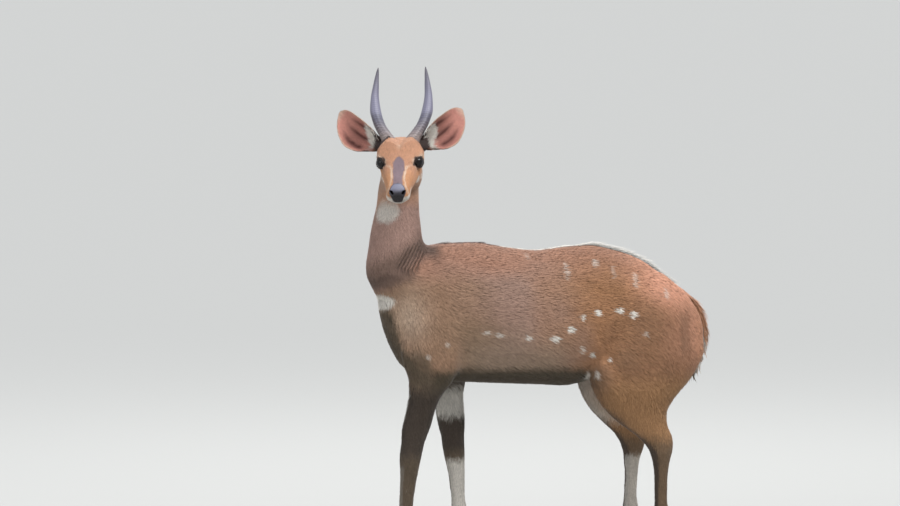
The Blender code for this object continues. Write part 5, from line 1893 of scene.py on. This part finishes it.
def horn_material(colours):
    """Grey horn, paler at its ringed base and darker at the tip, with painted shade in its grooves."""
    material, tree, shader = new_material("bushbuck horn")
    foot, body, tip = ((*colours[name], 1) for name in ("horn_base", "horn", "horn_tip"))
    _, along, height, shade = grown(tree, "horn_place", 34.0, 9.0)
    colour = blended(tree, spread_of(tree, along, 0.02, 0.3, 0.0, 1.0), foot, body)
    colour = blended(tree, spread_of(tree, along, 0.62, 0.98, 0.0, 1.0), colour, tip)
    # Painted shade: the colour darkens in the horn's grooves and between its rings.
    groove_shade = spread_of(tree, layer_of(tree, "relief", "Fac"), -0.62, 0.1, 0.45, 1.05)
    colour = tinted(tree, tinted(tree, colour, shade), groove_shade)
    finish_shader(tree, shader, colour, height, 0.0005, spread_of(tree, height, 0.2, 0.8, 0.5, 0.36))
    return material


def hoof_material(colours):
    """Dark hoof horn, scuffed paler towards the sole."""
    material, tree, shader = new_material("bushbuck hoof")
    place, along, height, shade = grown(tree, "hoof_place", 9.0, 14.0)
    worn = worked(tree, "SUBTRACT", noise_of(tree, place, 14.0, 4.0), along)
    worn = spread_of(tree, worn, 0.25, 0.6, 0.0, 0.55)
    colour = blended(tree, worn, (*colours["hoof"], 1), (*colours["hoof_worn"], 1))
    rough = spread_of(tree, worn, 0.0, 0.5, 0.38, 0.62)
    finish_shader(tree, shader, tinted(tree, colour, shade), height, 0.0005, rough)
    return material


PUPIL_LONG, PUPIL_TALL = 0.46, 0.24  # half sizes, as shares of the eyeball's radius
PUPIL_COLOUR = (0.003, 0.003, 0.005, 1)


def eye_material(colours):
    """A dark brown iris round a long level pupil, under a wet surface."""
    material, tree, shader = new_material("bushbuck eye")
    place = layer_of(tree, "eye_place", "Vector")
    across, up, out = parts_of(tree, place)
    long, tall = worked(tree, "DIVIDE", across, PUPIL_LONG), worked(tree, "DIVIDE", up, PUPIL_TALL)
    gap = worked(tree, "SQRT", worked(tree, "ADD", times(tree, long, long), times(tree, tall, tall)))
    pupil = spread_of(tree, gap, 0.93, 1.06, 1.0, 0.0)
    plain = add(tree, "ShaderNodeRGB", {}).outputs[0]
    plain.default_value = (*colours["iris"], 1)
    iris = tinted(tree, plain, spread_of(tree, noise_of(tree, place, 26.0, 5.0), 0.3, 0.7, 0.6, 1.5))
    colour = blended(tree, spread_of(tree, out, 0.46, 0.6, 1.0, 0.0), iris, (*colours["eye_white"], 1))
    colour = blended(tree, pupil, colour, PUPIL_COLOUR)
    fill(tree, shader, {"Base Color": colour, "Roughness": 0.3, "Specular IOR Level": 0.0,
                        "Coat Weight": 1.0, "Coat IOR": 1.37, "Coat Roughness": 0.02})
    return material


# -------- stage

CAMERA_TARGET = BODY_ORIGIN + Vector((-0.2244, 0.0, 0.7416))
CAMERA_AZIMUTH, CAMERA_ELEVATION = radians(-12), radians(4)
CAMERA_DISTANCE, CAMERA_LENS, CAMERA_SENSOR, CAMERA_REACH = 14.0, 229.6, 36.0, 1000.0
LAMPS_AIM = Vector((0, 0, 0.55))
FLOOR_SIZE = 400.0
# Soft lights: name, kind, azimuth, elevation, distance, size in metres (a sun's in degrees), power
LIGHTS = (
    ("key", "SUN", 36, 56, 3.6, 30.0, 2.8),
    ("fill", "AREA", -58, 25, 4.2, 3.2, 34.0),
    ("rim", "AREA", 165, 50, 3.8, 2.2, 50.0),
)


def towards(azimuth, elevation):
    return Vector((sin(azimuth) * cos(elevation), -cos(azimuth) * cos(elevation), sin(elevation)))


def make_stage(stage):
    scene = bpy.context.scene
    camera = bpy.data.cameras.new("camera")
    camera.lens, camera.sensor_width, camera.clip_end = CAMERA_LENS, CAMERA_SENSOR, CAMERA_REACH
    seat = bpy.data.objects.new("camera", camera)
    back = towards(CAMERA_AZIMUTH, CAMERA_ELEVATION)
    seat.location = CAMERA_TARGET + back * CAMERA_DISTANCE
    seat.rotation_euler = back.to_track_quat("Z", "Y").to_euler()
    scene.collection.objects.link(seat)
    scene.camera = seat
    for name, kind, azimuth, elevation, distance, size, power in LIGHTS:
        lamp = bpy.data.lights.new(name, kind)
        lamp.energy = power * stage["light"]
        if kind == "SUN":
            lamp.angle = radians(size)
        else:
            lamp.shape, lamp.size = "DISK", size
        holder = bpy.data.objects.new(name, lamp)
        direction = towards(radians(azimuth), radians(elevation))
        holder.location = LAMPS_AIM + direction * distance
        holder.rotation_euler = direction.to_track_quat("Z", "Y").to_euler()
        scene.collection.objects.link(holder)
    world = bpy.data.worlds.new("studio")
    world.use_nodes = True
    background = world.node_tree.nodes["Background"]
    fill(None, background, {"Color": (*stage["backdrop"], 1.0), "Strength": stage["surround"]})
    scene.world = world
    scene.view_settings.view_transform = "Standard"
    half = FLOOR_SIZE / 2
    floor = object_of("floor", [(-half, -half, 0), (half, -half, 0), (half, half, 0), (-half, half, 0)],
                      [(0, 1, 2, 3)])
    paint, _, shader = new_material("floor")
    fill(None, shader, {"Base Color": (*stage["floor"], 1.0), "Roughness": 0.9})
    floor.data.materials.append(paint)


# -------- sizes and colours to change


def linear(values):
    """A screen colour from 0 to 255 as light."""
    parts = np.array(values, float) / 255
    light = np.where(parts <= 0.04045, parts / 12.92, ((parts + 0.055) / 1.055) ** 2.4)
    return tuple(float(v) for v in light)


def hue(title, text, red, green, blue):
    return FloatVectorProperty(name=title, description=text, subtype="COLOR", size=3, min=0.0, max=1.0,
                               default=linear((red, green, blue)))


def hair(title, text, length):
    return FloatProperty(name=title, description=text, default=length, min=0.001, max=0.1, unit="LENGTH")


class BushbuckColours(bpy.types.PropertyGroup):
    side: hue("Side", "Hair on the ribs", 160, 129, 113)
    grey_side: hue("Grey side", "Greyer hair low on the ribs", 152, 136, 114)
    shoulder: hue("Shoulder", "Hair on the shoulder", 156, 123, 98)
    shoulder_shade: hue("Shoulder shade", "Darker hair in the middle of the shoulder", 143, 115, 91)
    flank: hue("Flank", "Hair on the flank", 162, 117, 82)
    haunch: hue("Haunch", "Hair on the haunch", 145, 106, 77)
    back: hue("Back", "Hair along the back", 167, 122, 99)
    # Rump is also laid as painted light on the back of the haunch.
    rump: hue("Rump", "Pale hair over the rump", 216, 157, 129)
    thigh: hue("Thigh", "Hair low on the thigh", 164, 123, 85)
    # Belly is also laid as painted shade in the fold in front of the stifle.
    belly: hue("Belly", "Dark hair underneath", 76, 66, 51)
    neck: hue("Neck", "Short hair of the neck", 173, 140, 127)
    # Neck shade is also laid as painted shade over the far side of the neck.
    neck_shade: hue("Neck shade", "Darker hair low on the neck", 112, 90, 78)
    # Collar is also laid as painted shade in the neck's creases and where the neck meets the back.
    collar: hue("Collar", "Dark collar and creases", 82, 66, 58)
    white: hue("White", "Spots, patches and stripes", 222, 216, 206)
    tail: hue("Tail", "Hair of the tail", 182, 130, 96)
    # Leg is also laid as painted shade at the elbow.
    leg: hue("Leg", "Hair of the legs", 98, 84, 68)
    leg_dark: hue("Dark leg", "Dark bands of the legs", 58, 49, 44)
    cheek: hue("Cheek", "Hair of the cheeks", 195, 141, 102)
    forehead: hue("Forehead", "Hair of the forehead", 192, 142, 112)
    jaw: hue("Jaw", "Hair under the jaw", 164, 130, 108)
    blaze: hue("Blaze", "Grey bridge of the nose", 124, 110, 120)
    # Cream is also laid as painted light on the front of the chest.
    cream: hue("Cream", "Pale lines of the face and rims of the ears", 212, 190, 168)
    dark: hue("Dark", "Rims of the eyes and lips", 40, 30, 28)
    nose: hue("Nose", "Bare nose", 60, 58, 66)
    # A painted highlight on the top of the bare nose.
    nose_top: hue("Nose top", "Lighter top of the bare nose", 130, 130, 148)
    # The nostril colour is painted shade, inside the nostrils and over the lower half of the bare nose.
    nostril: hue("Nostril", "Inside of the nostrils", 18, 14, 16)
    ear_inside: hue("Ear inside", "Thin skin inside the ears", 198, 137, 123)
    # Painted shade for the hollows inside the ears.
    ear_deep: hue("Ear hollows", "Hollows inside the ears", 74, 34, 32)
    ear_back: hue("Ear back", "Backs of the ears", 150, 118, 102)
    # Ear base is also laid as painted shade round and under the ears' roots.
    ear_base: hue("Ear base", "Dark hair at the ears' roots", 66, 52, 48)
    horn: hue("Horn", "Grey of the horns", 125, 123, 142)
    horn_base: hue("Horn base", "Paler foot of the horns", 150, 136, 132)
    horn_tip: hue("Horn tip", "Darker tips", 84, 80, 88)
    hoof: hue("Hoof", "Hooves", 46, 42, 40)
    hoof_worn: hue("Worn hoof", "Scuffed edges of the hooves", 108, 100, 90)
    iris: hue("Iris", "Iris of the eyes", 18, 12, 10)
    eye_white: hue("Eye corner", "Corners of the eyes", 24, 17, 15)


class BushbuckHair(bpy.types.PropertyGroup):
    side: hair("Side", "Hair on the ribs", 0.0175)
    shoulder: hair("Shoulder", "Hair on shoulder and haunch", 0.0155)
    belly: hair("Belly", "Hair underneath", 0.021)
    neck: hair("Neck", "Hair of the neck", 0.0105)
    leg: hair("Leg", "Hair of the upper legs", 0.0115)
    shin: hair("Shin", "Hair below knee and hock", 0.0082)
    face: hair("Face", "Hair of the face", 0.0062)
    muzzle: hair("Muzzle", "Hair round the nose and eyes", 0.0036)
    ear: hair("Ear", "Hair on the ears", 0.0055)
    crest: hair("Crest", "Long hair along the back", 0.028)
    tail: hair("Tail", "Long hair of the tail", 0.04)
    ear_hair: hair("Ear hair", "Long white hair in the ears", 0.022)


class BushbuckStage(bpy.types.PropertyGroup):
    light: FloatProperty(name="Light", description="Power of the lamps", default=1.0, min=0.0, max=10.0)
    surround: FloatProperty(name="Surround", description="Strength of the light all round",
                            default=0.7, min=0.0, max=10.0)
    backdrop: hue("Backdrop", "Colour of the light all round", 236, 240, 246)
    floor: hue("Floor", "Colour of the floor", 184, 184, 181)


def values_of(group):
    """A property group as a plain dictionary."""
    plain = {}
    for name in group.bl_rna.properties.keys():
        if name not in ("rna_type", "name"):
            value = getattr(group, name)
            plain[name] = value if isinstance(value, float) else tuple(value)
    return plain


def colours_now():
    return values_of(bpy.context.scene.bushbuck_colours)


def dress(thing, material, slot, *nodes):
    """Give a piece its material and body, and hide the nodes that it stands for; the slot is not used."""
    thing.data.materials.clear()
    thing.data.materials.append(material)
    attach(thing, "root")
    if nodes:
        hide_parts(*nodes)
    return thing


# -------- operators


class BUSHBUCK_OT_skin(bpy.types.Operator):
    """Build the whole skin, with its face, ears and markings, and painted light and shade"""
    bl_idname = "bushbuck.skin"
    bl_label = "Skin"

    def execute(self, context):
        skin, found = make_skin()
        unwrap(skin)
        mesh = skin.data
        points = points_of(mesh)
        p = Places(points, normals_of(points, triangles_of(mesh)), found)
        tint = coat_colour(p, colours_now())
        bare = bare_skin(p)
        tint *= (UNDERCOAT + (1 - UNDERCOAT) * np.maximum(bare, p.ear_inner))[:, None]
        put_layer(mesh, "coat", "FLOAT_COLOR", np.concatenate((tint, np.ones((len(tint), 1))), 1))
        put_layer(mesh, "lie", "FLOAT_VECTOR", hair_lie(p))
        put_layer(mesh, "bare", "FLOAT", bare)
        put_layer(mesh, "ear_leaf", "FLOAT_VECTOR", found[:, :3])
        more = np.concatenate((found[:, 3:], np.zeros((len(found), 1))), 1)
        put_layer(mesh, "ear_more", "FLOAT_VECTOR", more)
        dress(skin, skin_material(), "coat", *FLESH, *EARS)
        return {"FINISHED"}


class BUSHBUCK_OT_coat(bpy.types.Operator):
    """Grow the short hair in tufts over the skin"""
    bl_idname = "bushbuck.coat"
    bl_label = "Short hair"

    def execute(self, context):
        material = hair_material("bushbuck coat", 3.0, 0.62)
        for piece in grow_coat(Skin(), colours_now(), values_of(context.scene.bushbuck_hair)):
            dress(piece, material, "ear" if piece.name == "coat_ears" else "coat")
        return {"FINISHED"}


class BUSHBUCK_OT_long_hair(bpy.types.Operator):
    """Grow the crest, the long hair of tail, ears and poll, and the lashes"""
    bl_idname = "bushbuck.long_hair"
    bl_label = "Long hair"

    def execute(self, context):
        material = hair_material("bushbuck long hair", 2.0, 0.55)
        for piece in grow_long_hair(Skin(), colours_now(), values_of(context.scene.bushbuck_hair)):
            dress(piece, material, "ear" if piece.name == "ear_hair" else "coat")
        return {"FINISHED"}


class BUSHBUCK_OT_horns(bpy.types.Operator):
    """Build the two horns"""
    bl_idname = "bushbuck.horns"
    bl_label = "Horns"

    def execute(self, context):
        material = horn_material(colours_now())
        for word in SIDES:
            dress(make_horn(word), material, "horn", "horn_" + word)
        return {"FINISHED"}


class BUSHBUCK_OT_eyes(bpy.types.Operator):
    """Build the two eyeballs"""
    bl_idname = "bushbuck.eyes"
    bl_label = "Eyes"

    def execute(self, context):
        material = eye_material(colours_now())
        for word in SIDES:
            dress(make_eyeball(word), material, "eye", "eye_" + word)
        return {"FINISHED"}


class BUSHBUCK_OT_hooves(bpy.types.Operator):
    """Build the hooves and dewclaws"""
    bl_idname = "bushbuck.hooves"
    bl_label = "Hooves"

    def execute(self, context):
        material = hoof_material(colours_now())
        for leg in LEGS:
            for which in ("inner", "outer"):
                dress(make_claw(leg, which), material, "hoof", f"{leg}_claw_{which}")
                dress(make_dewclaw(leg, which), material, "hoof", f"{leg}_dewclaw_{which}")
        return {"FINISHED"}


class BUSHBUCK_OT_stage(bpy.types.Operator):
    """Set up the floor, the lights and the camera"""
    bl_idname = "bushbuck.stage"
    bl_label = "Stage"

    def execute(self, context):
        make_stage(values_of(context.scene.bushbuck_stage))
        return {"FINISHED"}


OPERATORS = (BUSHBUCK_OT_stage, BUSHBUCK_OT_skin, BUSHBUCK_OT_coat, BUSHBUCK_OT_long_hair, BUSHBUCK_OT_horns,
             BUSHBUCK_OT_eyes, BUSHBUCK_OT_hooves)
GROUPS = {"bushbuck_colours": BushbuckColours, "bushbuck_hair": BushbuckHair, "bushbuck_stage": BushbuckStage}


class BUSHBUCK_PT_panel(bpy.types.Panel):
    """Lists the pieces in the order they are built"""
    bl_idname = "BUSHBUCK_PT_panel"
    bl_label = "Bushbuck ram"
    bl_space_type = "VIEW_3D"
    bl_region_type = "UI"
    bl_category = "Bushbuck"

    def draw(self, context):
        for operator in OPERATORS:
            self.layout.operator(operator.bl_idname)
        for name in GROUPS:
            box = self.layout.box()
            values = getattr(context.scene, name)
            for title in values_of(values):
                box.prop(values, title)


def register():
    for kind in (*GROUPS.values(), *OPERATORS, BUSHBUCK_PT_panel):
        bpy.utils.register_class(kind)
    for name, group in GROUPS.items():
        setattr(bpy.types.Scene, name, PointerProperty(type=group))


def unregister():
    for name in GROUPS:
        delattr(bpy.types.Scene, name)
    for kind in reversed((*GROUPS.values(), *OPERATORS, BUSHBUCK_PT_panel)):
        bpy.utils.unregister_class(kind)


def main():
    register()
    for operator in OPERATORS:
        family, name = operator.bl_idname.split(".")
        getattr(getattr(bpy.ops, family), name)()


if __name__ == "__main__":
    main()
